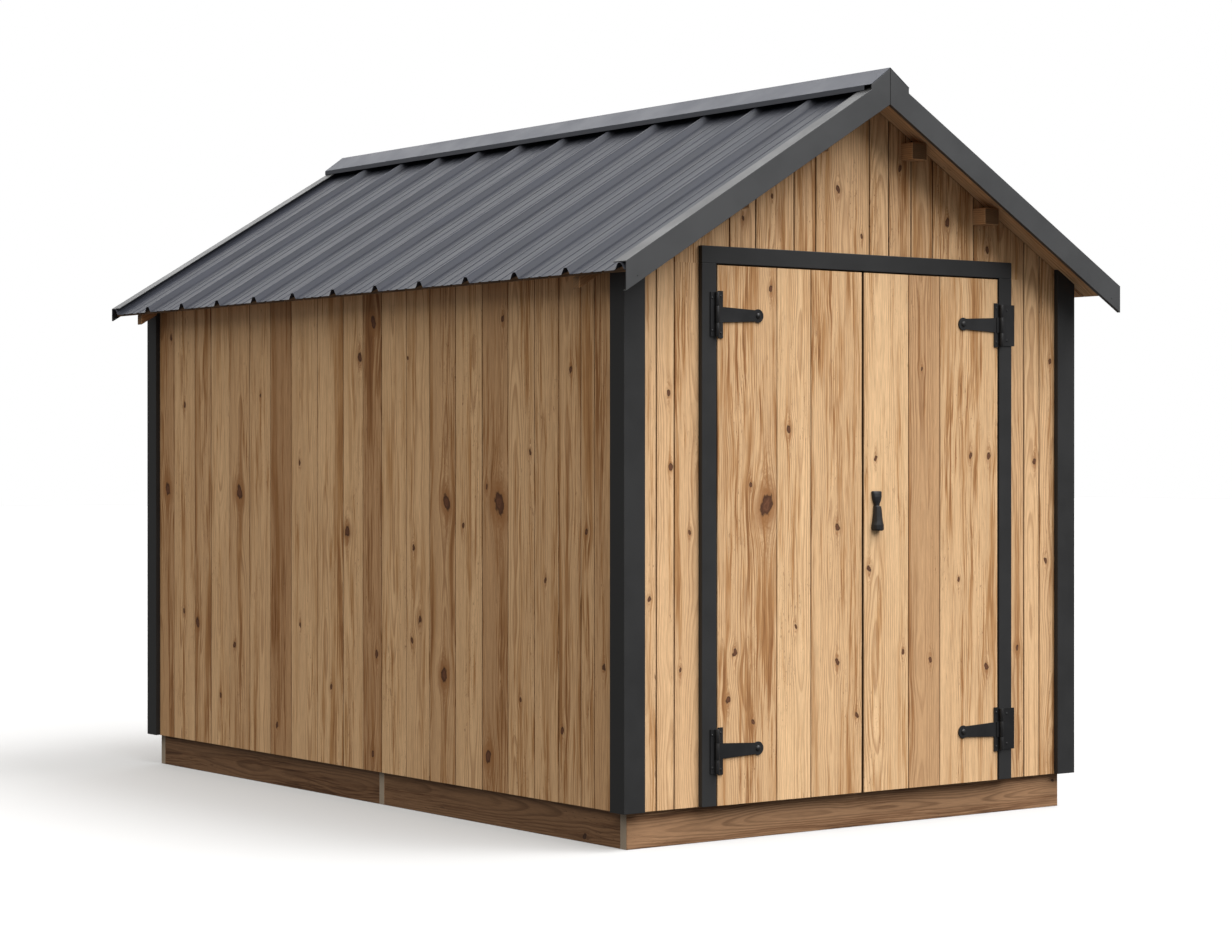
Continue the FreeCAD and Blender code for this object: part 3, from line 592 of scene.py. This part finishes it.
LEFT_EDGES = (
    # edge nearer the rear, tone, streak of the board in front of it
    (1.656, 0.50, 0.60), (1.495, 0.12, 0.35), (1.311, 0.28, 0.85), (1.172, 0.08, 0.30),
    (1.013, 0.30, 0.60), (0.848, 0.16, 0.40), (0.680, 0.62, 0.45), (0.516, 0.08, 0.30),
    (0.312, 0.10, 0.65), (0.121, 0.06, 0.35), (-0.023, 0.55, 0.80), (-0.156, 0.04, 0.22),
    (-0.328, 0.14, 0.40), (-0.488, 0.34, 0.65), (-0.659, 0.08, 0.30), (-0.831, 0.50, 0.60),
    (-0.992, 0.10, 0.30), (-1.155, 0.20, 0.55), (-1.299, 0.26, 0.80), (-1.428, 0.26, 0.65),
    (-1.505, 0.42, 0.80), (-1.656, 0.0, 0.0),
)
LEFT_KNOTS = (
    (1.55, 1.17, 0.020), (0.93, 1.16, 0.021), (-0.60, 1.14, 0.022), (-0.94, 1.14, 0.030),
    (0.09, 1.02, 0.016), (-0.10, 1.81, 0.018), (0.00, 1.68, 0.014), (1.52, 1.81, 0.010),
    (1.40, 1.52, 0.009), (0.45, 1.28, 0.008), (-0.96, 1.79, 0.009), (-0.86, 1.20, 0.008),
    (-1.13, 1.32, 0.007), (-0.34, 1.67, 0.007), (-0.38, 0.97, 0.009), (-0.71, 1.06, 0.008),
    (1.287, 0.62, 0.016), (0.627, 0.243, 0.009), (-0.125, 0.566, 0.012), (1.406, 0.66, 0.009),
    (0.972, 0.543, 0.010), (0.446, 0.649, 0.008), (-0.096, 0.189, 0.010), (-0.869, 0.244, 0.018),
    (-0.584, 0.516, 0.020), (-0.423, 0.709, 0.011), (-0.369, 0.631, 0.009), (-1.32, 0.372, 0.009),
    (-1.22, 0.88, 0.007), (-1.07, 0.46, 0.007), (-1.46, 1.05, 0.008), (1.09, 0.33, 0.008),
    (0.21, 0.42, 0.008), (0.76, 1.55, 0.007), (-1.37, 1.60, 0.008), (-1.56, 0.60, 0.009),
)


def side_place(node, out):
    low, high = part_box(node)
    face = high.x if out > 0 else low.x
    return Place((face, 0, 0), (0, 1, 0), (out, 0, 0), (0, 0, 1)), low, high


def make_left_wall():
    place, low, high = side_place("left_wall", -1)
    boards = Boards()
    for number, (rear, front) in enumerate(zip(LEFT_EDGES, LEFT_EDGES[1:])):
        start, stop = front[0], rear[0]
        boards.add(
            place, start, stop, low.z, lambda u: high.z - WALL_TOP_GAP, high.x - low.x,
            (rear[1], rear[2], 0.137 * (number + 1)), knots_between(LEFT_KNOTS, start, stop),
        )
    boards.piece("left_cladding", CLADDING, "building", "cladding_wood", "left_wall")


def make_right_wall():
    chance = random.Random(41)
    place, low, high = side_place("right_wall", 1)
    boards = Boards()
    for number, (start, stop, tone, streak) in enumerate(random_boards(chance, low.y, high.y, 0.12, 0.20)):
        boards.add(
            place, start, stop, low.z, lambda u: high.z - WALL_TOP_GAP, high.x - low.x,
            (tone, streak, 3.211 + 0.173 * number), random_knots(chance, start, stop, low.z, high.z, 0.5),
        )
    boards.piece("right_cladding", CLADDING, "building", "cladding_wood", "right_wall")


def make_rear_wall():
    chance = random.Random(57)
    low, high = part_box("rear_wall")
    place = Place((0, high.y, 0), (1, 0, 0), (0, 1, 0), (0, 0, 1))
    boards = Boards()
    spans = random_boards(chance, low.x, high.x, 0.11, 0.19)
    for number, (start, stop, tone, streak) in enumerate(spans):
        boards.add(
            place, start, stop, low.z, lambda u: under_roof(u) - WALL_TOP_GAP, high.y - low.y,
            (tone, streak, 7.513 + 0.191 * number),
            random_knots(chance, start, stop, low.z, under_roof(start), 0.55),
            peak=0.0 if start < 0 < stop else None,
        )
    boards.piece("rear_cladding", CLADDING, "building", "cladding_wood", "rear_wall")


# ---- front wall and doors

FRONT_BOARDS = (
    # start, stop, tone, streak, and False where the board starts over the door
    (-1.030, -0.900, 0.10, 0.45, True), (-0.900, -0.825, 0.05, 0.30, True),
    (-0.825, -0.588, 0.12, 0.45, True), (-0.588, -0.472, 0.22, 0.60, False),
    (-0.472, -0.301, 0.10, 0.40, False), (-0.301, -0.202, 0.20, 0.45, False),
    (-0.202, 0.046, 0.14, 0.40, False), (0.046, 0.137, 0.08, 0.30, False),
    (0.137, 0.244, 0.30, 0.60, False), (0.244, 0.348, 0.22, 0.65, False),
    (0.348, 0.552, 0.16, 0.55, False), (0.552, 0.806, 0.20, 0.50, True),
    (0.806, 0.885, 0.04, 0.20, True), (0.885, 1.030, 0.10, 0.45, True),
)
FRONT_KNOTS = (
    (-0.85, 1.52, 0.008), (-0.84, 1.27, 0.008), (-0.80, 0.59, 0.007), (0.86, 1.29, 0.009),
    (0.77, 0.60, 0.008), (-0.93, 0.83, 0.007), (-0.53, 2.12, 0.007), (-0.10, 2.24, 0.009),
    (0.42, 2.15, 0.011), (0.62, 2.06, 0.009), (0.19, 2.33, 0.008), (0.92, 0.92, 0.008),
    (-0.40, 2.20, 0.006), (0.01, 2.08, 0.006), (-0.76, 1.05, 0.006), (0.94, 1.66, 0.007),
)
LEFT_LEAF = (
    (-0.655, -0.392, 0.22, 0.90), (-0.392, -0.239, 0.0, 0.20), (-0.239, -0.005, 0.14, 0.62),
)
RIGHT_LEAF = (
    (0.005, 0.217, 0.0, 0.18), (0.217, 0.369, 0.50, 0.50), (0.369, 0.655, 0.12, 0.68),
)
DOOR_KNOTS = (
    (-0.44, 1.14, 0.027), (-0.34, 1.40, 0.010), (-0.51, 1.21, 0.007), (-0.12, 1.06, 0.010),
    (-0.42, 1.88, 0.009), (0.06, 1.30, 0.007), (0.61, 1.31, 0.009), (0.52, 1.31, 0.008),
    (0.03, 0.91, 0.010), (-0.58, 0.64, 0.009), (0.60, 0.54, 0.010), (0.19, 0.61, 0.007),
    (0.32, 0.58, 0.008), (-0.12, 0.59, 0.009), (-0.61, 0.48, 0.010), (-0.03, 0.40, 0.008),
    (-0.50, 0.40, 0.007), (0.46, 0.86, 0.007), (-0.31, 0.72, 0.006), (0.28, 1.62, 0.006),
)


def make_front_wall():
    low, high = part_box("front_wall_left")
    over_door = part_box("front_gable")[0].z
    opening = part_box("front_gable")[1].x
    thick = high.y - low.y
    place = Place((0, low.y, 0), (1, 0, 0), (0, -1, 0), (0, 0, 1))
    boards = Boards()
    for number, (start, stop, tone, streak, full) in enumerate(FRONT_BOARDS):
        look = (tone, streak, 11.371 + 0.217 * number)
        knots = knots_between(FRONT_KNOTS, start, stop)
        crosses = full and start < -opening < stop or full and start < opening < stop
        foot = low.z
        if crosses:
            inner = -opening if start < 0 else opening
            ends = (start, inner + GAP) if start < 0 else (inner - GAP, stop)
            boards.add(place, *ends, low.z, lambda u: over_door, thick, look, knots)
            foot = over_door
        elif not full:
            foot = over_door
        boards.add(
            place, start, stop, foot, lambda u: under_roof(u) - WALL_TOP_GAP, thick, look, knots,
            peak=0.0 if start < 0 < stop else None,
        )
    boards.piece(
        "front_cladding", CLADDING, "building", "cladding_wood",
        "front_wall_left", "front_wall_right", "front_gable",
    )


def make_leaf(side, spans):
    node = f"{side}_door_boards"
    low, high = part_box(node)
    place = Place((0, low.y, 0), (1, 0, 0), (0, -1, 0), (0, 0, 1))
    boards = Boards()
    seed = 17.113 if side == "left" else 19.417
    for number, (start, stop, tone, streak) in enumerate(spans):
        boards.add(
            place, max(start - GAP / 2, low.x - GAP / 2), min(stop + GAP / 2, high.x + GAP / 2)
            if stop == spans[-1][1] else stop, low.z, lambda u: high.z, high.y - low.y,
            (tone, streak, seed + 0.319 * number), knots_between(DOOR_KNOTS, start, stop),
        )
    boards.piece(f"{side}_leaf_boards", DOOR_WOOD, f"{side}_door", "door_wood", node)


# ---- roof boards and floor


def make_roof_deck(side_name, side):
    """Boards that run from the ridge to the eave, the first as wide as the front overhang."""
    node = f"roof_deck_{side_name}"
    low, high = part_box(node)
    down = Vector((side, 0, -ROOF_SLOPE)).normalized()
    out = Vector((side * ROOF_SLOPE, 0, 1)).normalized()
    place = Place((0, 0, DECK_PEAK), (0, 1, 0), out, down)
    chance = random.Random(71 + side)
    eave = (high.x - low.x) * ROOF_STEEP - DECK_END
    edges = [low.y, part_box("front_gable")[0].y]
    while high.y - edges[-1] > 0.22:
        edges.append(edges[-1] + chance.uniform(0.135, 0.165))
    edges.append(high.y)
    boards = Boards()
    for number, (start, stop) in enumerate(zip(edges, edges[1:])):
        boards.add(
            place, start, stop, DECK_END, lambda v: eave, DECK_THICK,
            (chance.uniform(0.0, 0.3), chance.uniform(0.3, 0.7), 23.7 + side + 0.23 * number),
            random_knots(chance, start, stop, DECK_END, eave, 0.5),
        )
    boards.piece(f"roof_boards_{side_name}", SOFFIT_WOOD, "building", "soffit_wood", node)


def make_floor_boards():
    low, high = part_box("floor_deck")
    place = Place((0, 0, high.z), (1, 0, 0), (0, 0, 1), (0, 1, 0))
    chance = random.Random(83)
    boards = Boards()
    spans = random_boards(chance, low.x, high.x, 0.119, 0.121)
    for number, (start, stop, tone, streak) in enumerate(spans):
        boards.add(
            place, start, stop, low.y, lambda u: high.y, high.z - low.z,
            (tone * 0.5, streak, 31.9 + 0.27 * number),
            random_knots(chance, start, stop, low.y, high.y, 0.8),
        )
    boards.piece("floor_planks", FLOOR_WOOD, "building", "floor_wood", "floor_deck")


# ---- squared timbers


def islands(work):
    """The separate solids of a mesh, as lists of faces."""
    left, found = set(work.faces), []
    while left:
        reached, edge = set(), [left.pop()]
        while edge:
            face = edge.pop()
            reached.add(face)
            for side in face.edges:
                for other in side.link_faces:
                    if other in left:
                        left.remove(other)
                        edge.append(other)
        found.append(sorted(reached, key=lambda f: f.index))
    return sorted(found, key=lambda faces: faces[0].index)


def make_timbers(name, node, material, body, slot, tones, seed, ease=0.002):
    """Squared timbers of a CAD node with eased edges, each with its own grain down its length."""
    work = bmesh.new()
    work.from_mesh(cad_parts[node].data)
    bmesh.ops.remove_doubles(work, verts=work.verts, dist=SAME_POINT)
    bmesh.ops.dissolve_limit(work, angle_limit=math.radians(1), verts=work.verts, edges=work.edges)
    bmesh.ops.recalc_face_normals(work, faces=work.faces)
    ways = []
    work.faces.index_update()
    for faces in islands(work):
        edges = sorted({e for f in faces for e in f.edges}, key=lambda e: -e.calc_length())
        along = (edges[0].verts[1].co - edges[0].verts[0].co).normalized()
        if max(along, key=abs) < 0:
            along = -along
        sides = [f for f in faces if abs(f.normal.dot(along)) < 0.2]
        out = max(sides, key=lambda f: f.calc_area()).normal.copy()
        corners = {v for f in faces for v in f.verts}
        centre = sum((v.co for v in corners), Vector()) / len(corners)
        ways.append((centre, along, out, along.cross(out)))
    bmesh.ops.bevel(
        work, geom=list(work.edges), offset=ease, segments=1, affect="EDGES", profile=0.5,
        clamp_overlap=True,
    )
    work.faces.index_update()
    work.verts.index_update()
    chance = random.Random(node)
    grain = [(0, 0, 0)] * len(work.verts)
    board = [(0, 0, 0)] * len(work.faces)
    knot = [NO_KNOT] * len(work.faces)
    cut_end = [0.0] * len(work.faces)
    for faces in islands(work):
        corners = {v for f in faces for v in f.verts}
        middle = sum((v.co for v in corners), Vector()) / len(corners)
        centre, along, out, across = min(ways, key=lambda way: (way[0] - middle).length)
        look = (chance.uniform(*tones), chance.uniform(0.2, 0.6), seed + chance.uniform(0, 40))
        lengths = [(v.co - centre).dot(along) for v in corners]
        widths = [(v.co - centre).dot(across) for v in corners]
        mark = (
            chance.uniform(min(widths), max(widths)), chance.uniform(min(lengths), max(lengths)),
            chance.uniform(0.005, 0.010),
        )
        for vertex in corners:
            offset = vertex.co - centre
            grain[vertex.index] = (offset.dot(across), offset.dot(out) * 0.98 - 0.011, offset.dot(along))
        for face in faces:
            board[face.index] = look
            if abs(face.normal.dot(along)) > 0.8:
                cut_end[face.index] = 1.0
            elif abs(face.normal.dot(out)) > 0.8:
                knot[face.index] = mark
    mesh = bpy.data.meshes.new(name)
    work.to_mesh(mesh)
    work.free()
    write_looks(mesh, grain, [0.0] * len(grain), board, (knot, [NO_KNOT] * len(knot)), cut_end)
    return add_piece(name, mesh, material, body, slot, node)


TIMBERS = (
    # material, slot, body, and each piece with its CAD node and range of tones
    (BASE_WOOD, "base_wood", "building", (
        ("base_front", "base_front_board", (0.0, 0.05)), ("base_rear", "base_rear_board", (0.0, 0.3)),
        ("base_joist", "base_middle_joist", (0.0, 0.3)), ("base_left", "base_left_boards", (0.55, 0.7)),
        ("base_right", "base_right_boards", (0.0, 0.3)),
    )),
    (FRAME_WOOD, "frame_wood", "building", (
        ("left_studs", "left_wall_studs", (0.0, 0.3)), ("right_studs", "right_wall_studs", (0.0, 0.3)),
        ("rear_studs", "rear_wall_studs", (0.0, 0.3)), ("soles", "sole_plates", (0.1, 0.4)),
        ("heads", "head_plates", (0.0, 0.3)), ("posts", "door_posts", (0.0, 0.3)),
    )),
    (SOFFIT_WOOD, "soffit_wood", "building", (
        ("beams", "eave_beams", (0.1, 0.4)), ("purlin_timbers", "purlins", (0.3, 0.6)),
        ("brackets", "eave_brackets", (0.7, 0.9)),
    )),
    (FRAME_WOOD, "frame_wood", "left_door", (
        ("left_ledges", "left_door_ledges", (0.0, 0.3)), ("left_braces", "left_door_braces", (0.0, 0.3)),
    )),
    (FRAME_WOOD, "frame_wood", "right_door", (
        ("right_ledges", "right_door_ledges", (0.0, 0.3)), ("right_braces", "right_door_braces", (0.0, 0.3)),
    )),
)


# ---- roof sheets


def sheet_section(half):
    """The sheet from end to end: (y, height over the pan)."""
    pitch = 2 * (half - RIB_FIRST) / (RIB_COUNT - 1)
    soft = 0.002
    line = [(-half, 0.0)]
    for number in range(RIB_COUNT):
        y = -half + RIB_FIRST + pitch * number
        foot, crest = RIB_BASE / 2, RIB_CREST / 2
        for side in (-1, 1):
            shape = [
                (foot + soft, 0.0), (foot - soft * 0.5, RIB_TALL * 0.10),
                (crest + soft, RIB_TALL * 0.90), (crest - soft, RIB_TALL),
            ]
            shape = shape if side < 0 else list(reversed(shape))
            line += [(y + side * d, h) for d, h in shape]
        if number == RIB_COUNT - 1:
            break
        for share in (0.30, 0.50, 0.70):
            centre = y + pitch * share
            for step, rise in ((-0.0085, 0.0), (-0.0045, SWAGE), (0.0045, SWAGE), (0.0085, 0.0)):
                line.append((centre + step, rise))
    line.append((half, 0.0))
    return [(max(-half, min(half, y)), h) for y, h in line]


def make_roof_sheet(side_name, side):
    node = f"roof_sheet_{side_name}"
    low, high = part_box(node)
    half = high.y
    across = Vector((side, 0, -ROOF_SLOPE)).normalized()
    out = Vector((side * ROOF_SLOPE, 0, 1)).normalized()
    start = 0.010
    length = (DECK_PEAK - low.z) * ROOF_STEEP / ROOF_SLOPE - start
    stop = min(start + length, (high.x - low.x + start / ROOF_STEEP) * ROOF_STEEP)
    ridge = Vector((0, 0, DECK_PEAK))
    section = sheet_section(half)
    rows = 7
    chance = random.Random(97 + side)
    points, faces = [], []
    for skin in (0, 1):
        for row in range(rows + 1):
            s = start + (stop - start) * row / rows
            for y, h in section:
                lift = SHEET_LIFT + h - skin * SHEET_SKIN
                back = RIB_CUT * min(1.0, h / RIB_TALL) if row == rows else 0.0
                points.append(ridge + across * (s - back) + out * lift + Vector((0, y, 0)))
    count = len(section)
    layer = count * (rows + 1)
    for row in range(rows):
        for step in range(count - 1):
            a = row * count + step
            faces.append((a, a + 1, a + count + 1, a + count))
            faces.append((layer + a, layer + a + count, layer + a + count + 1, layer + a + 1))
    for step in range(count - 1):
        faces.append((step + 1, step, layer + step, layer + step + 1))
        end = rows * count + step
        faces.append((end, end + 1, layer + end + 1, layer + end))
    for row in range(rows):
        a = row * count
        faces.append((a, a + count, layer + a + count, layer + a))
        b = a + count - 1
        faces.append((b + count, b, layer + b, layer + b + count))
    mesh = mesh_of(f"ribbed_sheet_{side_name}", points, faces)
    add_piece(f"ribbed_sheet_{side_name}", mesh, ROOF_PAINT, "building", "roof_metal", node)


# ---- ridge cap

CAP_WING = 0.090
CAP_LIP = 0.018
CAP_SKIN = 0.0012
CAP_LIP_BACK = 0.036  # the lip stops short of the front end
CAP_EDGE = 0.0005


def make_ridge_cap():
    """Two thin wings over the whole length, with plumb lips that start behind the front end."""
    low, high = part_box("ridge_cap")
    fall = high.z - low.z - CAP_LIP
    points, faces = [], []

    def strip(section, start, stop):
        base = len(points)
        for y in (start, stop):
            points.extend((x, y, z) for x, z in section)
        count = len(section)
        for step in range(count):
            after = (step + 1) % count
            faces.append((base + step, base + after, base + count + after, base + count + step))
        faces.append(tuple(base + step for step in range(count)))
        faces.append(tuple(base + count + step for step in reversed(range(count))))

    edge = high.z - fall
    strip(
        [
            (0, high.z), (CAP_WING, edge), (CAP_WING - CAP_SKIN, edge - CAP_SKIN),
            (0, high.z - 2 * CAP_SKIN), (CAP_SKIN - CAP_WING, edge - CAP_SKIN), (-CAP_WING, edge),
        ],
        low.y, high.y,
    )
    for side in (-1, 1):
        strip(
            [
                (side * CAP_WING, edge), (side * CAP_WING, low.z),
                (side * (CAP_WING - CAP_SKIN), low.z), (side * (CAP_WING - CAP_SKIN), edge - CAP_SKIN),
            ],
            low.y + CAP_LIP_BACK, high.y,
        )
    mesh = mesh_of("folded_ridge_cap", points, faces)
    cap = add_piece("folded_ridge_cap", mesh, CAP_PAINT_AND_LIGHT, "building", "cap_metal", "ridge_cap")
    ease_edges(cap, CAP_EDGE)


# ---- carried-over metal and trims

CARRIED = (
    # material, edge radius, CAD nodes
    (RAKE_PAINT, 0.0010, (
        "rake_trim_front_left", "rake_trim_front_right", "rake_trim_rear_left", "rake_trim_rear_right",
    )),
    (BLACK_TRIM, 0.0020, (
        "front_corner_trims", "rear_corner_trims", "door_trim_left", "door_trim_right", "door_trim_head",
    )),
    (BLACK_IRON, 0.0007, ("hinge_plates", "left_door_hinge_straps", "right_door_hinge_straps")),
)


def dress(node, material, radius):
    """A carried-over CAD node with eased edges and its own material."""
    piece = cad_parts[node]
    piece.data.materials.clear()
    piece.data.materials.append(material)
    weld = piece.modifiers.new("weld", "WELD")
    weld.merge_threshold = SAME_POINT
    ease_edges(piece, radius, segments=2)


# ---- ironwork


def lathe(points, faces, centre, out, profile, sides=16):
    """A turned head that stands out from a face: profile is (distance out, radius)."""
    out = Vector(out).normalized()
    first = Vector((0, 0, 1)) if abs(out.z) < 0.9 else Vector((1, 0, 0))
    first = (first - out * first.dot(out)).normalized()
    second = out.cross(first)
    base = len(points)
    for lift, radius in profile:
        for step in range(sides):
            angle = math.tau * step / sides
            rim = first * math.cos(angle) + second * math.sin(angle)
            points.append(Vector(centre) + out * lift + rim * radius)
    for ring in range(len(profile) - 1):
        for step in range(sides):
            a, b = base + ring * sides + step, base + ring * sides + (step + 1) % sides
            faces.append((a, b, b + sides, a + sides))
    faces.append(tuple(base + step for step in reversed(range(sides))))
    top = base + (len(profile) - 1) * sides
    faces.append(tuple(top + step for step in range(sides)))


DOME = (
    (-0.001, 0.0105), (0.0012, 0.0105), (0.0030, 0.0092), (0.0046, 0.0068), (0.0055, 0.0038),
    (0.0058, 0.0012),
)
SCREW = ((-0.001, 0.0042), (0.0006, 0.0042), (0.0016, 0.0034), (0.0021, 0.0018), (0.0022, 0.0006))


SCREW_PROUD = 0.0004  # heads on the gable-end trims are let in, nearly flush
RAKE_SCREW_OUT = 1.100  # middle line to the screw of a gable-end trim
RAKE_SCREW_ENDS = ((-1, "front", 0.075), (1, "rear", 0.034))  # and how far it is below the trim's top
RAKE_SCREW = ((-0.0006, 0.0046), (0.0, 0.0046), (0.0003, 0.0040), (0.0004, 0.0020))
STRAP_BOLT = 0.480  # middle line to the bolt of a strap
TEE_SCREW = 0.644  # and to the screws of its tee plate
TEE_STEP, PLATE_STEP = 0.062, 0.055  # screws above and below the middle of a hinge
HINGE_PROUD = 0.004  # straps and plates stand out from the boards and trims
PLATE_SCREWS = (-0.6815, 0.695)


def shade_smooth(mesh):
    mesh.polygons.foreach_set("use_smooth", [True] * len(mesh.polygons))


def make_fixings():
    strap_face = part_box("left_door_boards")[0].y - HINGE_PROUD
    plate_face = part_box("door_trim_left")[0].y - HINGE_PROUD
    sets = {"left_door": ([], []), "right_door": ([], []), "building": ([], [])}
    for body, side in (("left_door", -1), ("right_door", 1)):
        points, faces = sets[body]
        for height in (HINGE_LOW, HINGE_HIGH):
            lathe(points, faces, (side * STRAP_BOLT, strap_face, height), (0, -1, 0), DOME)
            for step in (-TEE_STEP, TEE_STEP):
                lathe(points, faces, (side * TEE_SCREW, strap_face, height + step), (0, -1, 0), SCREW, 12)
    points, faces = sets["building"]
    for across in PLATE_SCREWS:
        for height in (HINGE_LOW, HINGE_HIGH):
            for step in (-PLATE_STEP, PLATE_STEP):
                lathe(points, faces, (across, plate_face, height + step), (0, -1, 0), SCREW, 12)
    for body, (points, faces) in sets.items():
        mesh = mesh_of(f"{body}_bolts", points, faces)
        shade_smooth(mesh)
        add_piece(f"{body}_hinge_bolts", mesh, BLACK_IRON, body, "black_iron")


def make_rake_screws():
    """One screw near the foot of each gable-end trim."""
    points, faces = [], []
    for end, name, drop in RAKE_SCREW_ENDS:
        low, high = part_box(f"rake_trim_{name}_left")
        face = low.y if end < 0 else high.y
        for side in (-1, 1):
            x = side * RAKE_SCREW_OUT
            z = RAKE_PEAK - ROOF_SLOPE * abs(x) - drop
            lathe(points, faces, (x, face - end * SCREW_PROUD, z), (0, end, 0), RAKE_SCREW, 12)
    mesh = mesh_of("rake_screws", points, faces)
    shade_smooth(mesh)
    add_piece("rake_screws", mesh, BLACK_IRON, "building", "rake_metal")


HANDLE_STATIONS = (
    # distance below the top, half width, how far it stands out, sideways shift
    (0.0000, 0.0190, 0.0090, 0.0),
    (0.0030, 0.0222, 0.0125, 0.0),
    (0.0090, 0.0215, 0.0140, 0.0),
    (0.0200, 0.0205, 0.0155, 0.0),
    (0.0330, 0.0175, 0.0150, 0.0),
    (0.0440, 0.0120, 0.0135, 0.0),
    (0.0520, 0.0095, 0.0135, 0.0),
    (0.0540, 0.0140, 0.0190, 0.001),
    (0.0700, 0.0150, 0.0215, 0.001),
    (0.0900, 0.0165, 0.0240, 0.0005),
    (0.1080, 0.0185, 0.0270, 0.0),
    (0.1200, 0.0218, 0.0290, 0.0),
    (0.1330, 0.0222, 0.0295, 0.0),
    (0.1385, 0.0190, 0.0270, 0.0),
    (0.1400, 0.0120, 0.0200, 0.0),
)
HANDLE_RIM = (
    (1.0, 0.0), (1.0, 0.45), (0.78, 0.80), (0.22, 1.0),
    (-0.22, 1.0), (-0.78, 0.80), (-1.0, 0.45), (-1.0, 0.0),
)


def make_handle():
    """A hammered pull, eight-sided, with a waist under its head."""
    low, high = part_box("door_handle")
    centre = (low.x + high.x) / 2
    points, faces = [], []
    for down, half, proud, shift in HANDLE_STATIONS:
        for across, share in HANDLE_RIM:
            lip = 0.004 * (1 - abs(across)) if down > 0.13 else 0.0
            z = max(low.z, high.z - down - lip)
            points.append((centre + shift + across * half, high.y - share * proud, z))
    count = len(HANDLE_RIM)
    for ring in range(len(HANDLE_STATIONS) - 1):
        for step in range(count):
            a, b = ring * count + step, ring * count + (step + 1) % count
            faces.append((a, b, b + count, a + count))
    faces.append(tuple(range(count)))
    last = (len(HANDLE_STATIONS) - 1) * count
    faces.append(tuple(last + step for step in reversed(range(count))))
    mesh = mesh_of("forged_pull", points, faces)
    pull = add_piece("forged_pull", mesh, BLACK_IRON, "right_door", "black_iron", "door_handle")
    ease_edges(pull, 0.0009, segments=2, angle=18)


# ---- the whole shed

make_left_wall()
make_right_wall()
make_rear_wall()
make_front_wall()
make_leaf("left", LEFT_LEAF)
make_leaf("right", RIGHT_LEAF)
make_roof_deck("left", -1)
make_roof_deck("right", 1)
make_floor_boards()
number = 0
for material, slot, body, pieces in TIMBERS:
    for name, node, tones in pieces:
        make_timbers(name, node, material, body, slot, tones, seed=0.37 * number)
        number += 1
make_roof_sheet("left", -1)
make_roof_sheet("right", 1)
make_ridge_cap()
for material, radius, nodes in CARRIED:
    for node in nodes:
        dress(node, material, radius)
make_fixings()
make_rake_screws()
make_handle()

# ---- floor and light

FLOOR_HALF = 60.0
FLOOR_PAINT = rgb(0.40, 0.40, 0.402)
FLOOR_GLOW = 0.235  # keeps the shadow on the floor pale
floor_mesh = bpy.data.meshes.new("studio_floor")
floor_mesh.from_pydata(
    [(x * FLOOR_HALF, y * FLOOR_HALF, 0) for x, y in ((-1, -1), (1, -1), (1, 1), (-1, 1))],
    [], [(0, 1, 2, 3)],
)
floor = bpy.data.objects.new("studio_floor", floor_mesh)
scene.collection.objects.link(floor)
pale = Shade("pale_floor")
pale.shader.inputs["Base Color"].default_value = FLOOR_PAINT
pale.shader.inputs["Roughness"].default_value = 0.9
pale.shader.inputs["Specular IOR Level"].default_value = 0.0
pale.shader.inputs["Emission Color"].default_value = rgb(1, 1, 1)
pale.shader.inputs["Emission Strength"].default_value = FLOOR_GLOW
floor_mesh.materials.append(pale.material)
floor.visible_diffuse = False
floor.visible_glossy = False

SKY_SEEN = 1.0  # the backdrop is white to the camera
SKY_ABOVE = 0.25  # and dimmer as a light
SKY_BELOW = 0.20
world = bpy.data.worlds.new("studio")
world.use_nodes = True
tree = world.node_tree
sky = tree.nodes["Background"]
sky.inputs["Color"].default_value = rgb(1, 1, 1)
path = tree.nodes.new("ShaderNodeLightPath")
way = tree.nodes.new("ShaderNodeTexCoord")
height = tree.nodes.new("ShaderNodeSeparateXYZ")
light_level = tree.nodes.new("ShaderNodeMapRange")
light_level.inputs["From Min"].default_value = -0.1
light_level.inputs["From Max"].default_value = 0.1
light_level.inputs["To Min"].default_value = SKY_BELOW
light_level.inputs["To Max"].default_value = SKY_ABOVE
level = tree.nodes.new("ShaderNodeMapRange")
level.inputs["To Max"].default_value = SKY_SEEN
tree.links.new(way.outputs["Generated"], height.inputs[0])
tree.links.new(height.outputs["Z"], light_level.inputs["Value"])
tree.links.new(light_level.outputs[0], level.inputs["To Min"])
tree.links.new(path.outputs["Is Camera Ray"], level.inputs["Value"])
tree.links.new(level.outputs[0], sky.inputs["Strength"])
scene.world = world


def add_sun(name, energy, from_way, spread, colour=(1, 1, 1)):
    """A broad soft light from a way, spread in degrees."""
    data = bpy.data.lights.new(name, "SUN")
    data.color = colour
    data.energy = energy
    data.angle = math.radians(spread)
    lamp = bpy.data.objects.new(name, data)
    lamp.rotation_mode = "QUATERNION"
    lamp.rotation_quaternion = (-Vector(from_way)).to_track_quat("-Z", "Y")
    scene.collection.objects.link(lamp)


add_sun("key", 2.0, (0.40, -0.21, 0.90), 30)
add_sun("front_light", 3.7, (0.22, -0.62, 0.75), 60)
add_sun("left_light", 1.45, (-0.62, -0.20, 0.76), 60, (1.0, 0.96, 0.87))
add_sun("rear_light", 1.5, (0.45, 0.70, 0.55), 60)

scene.view_settings.view_transform = "Standard"
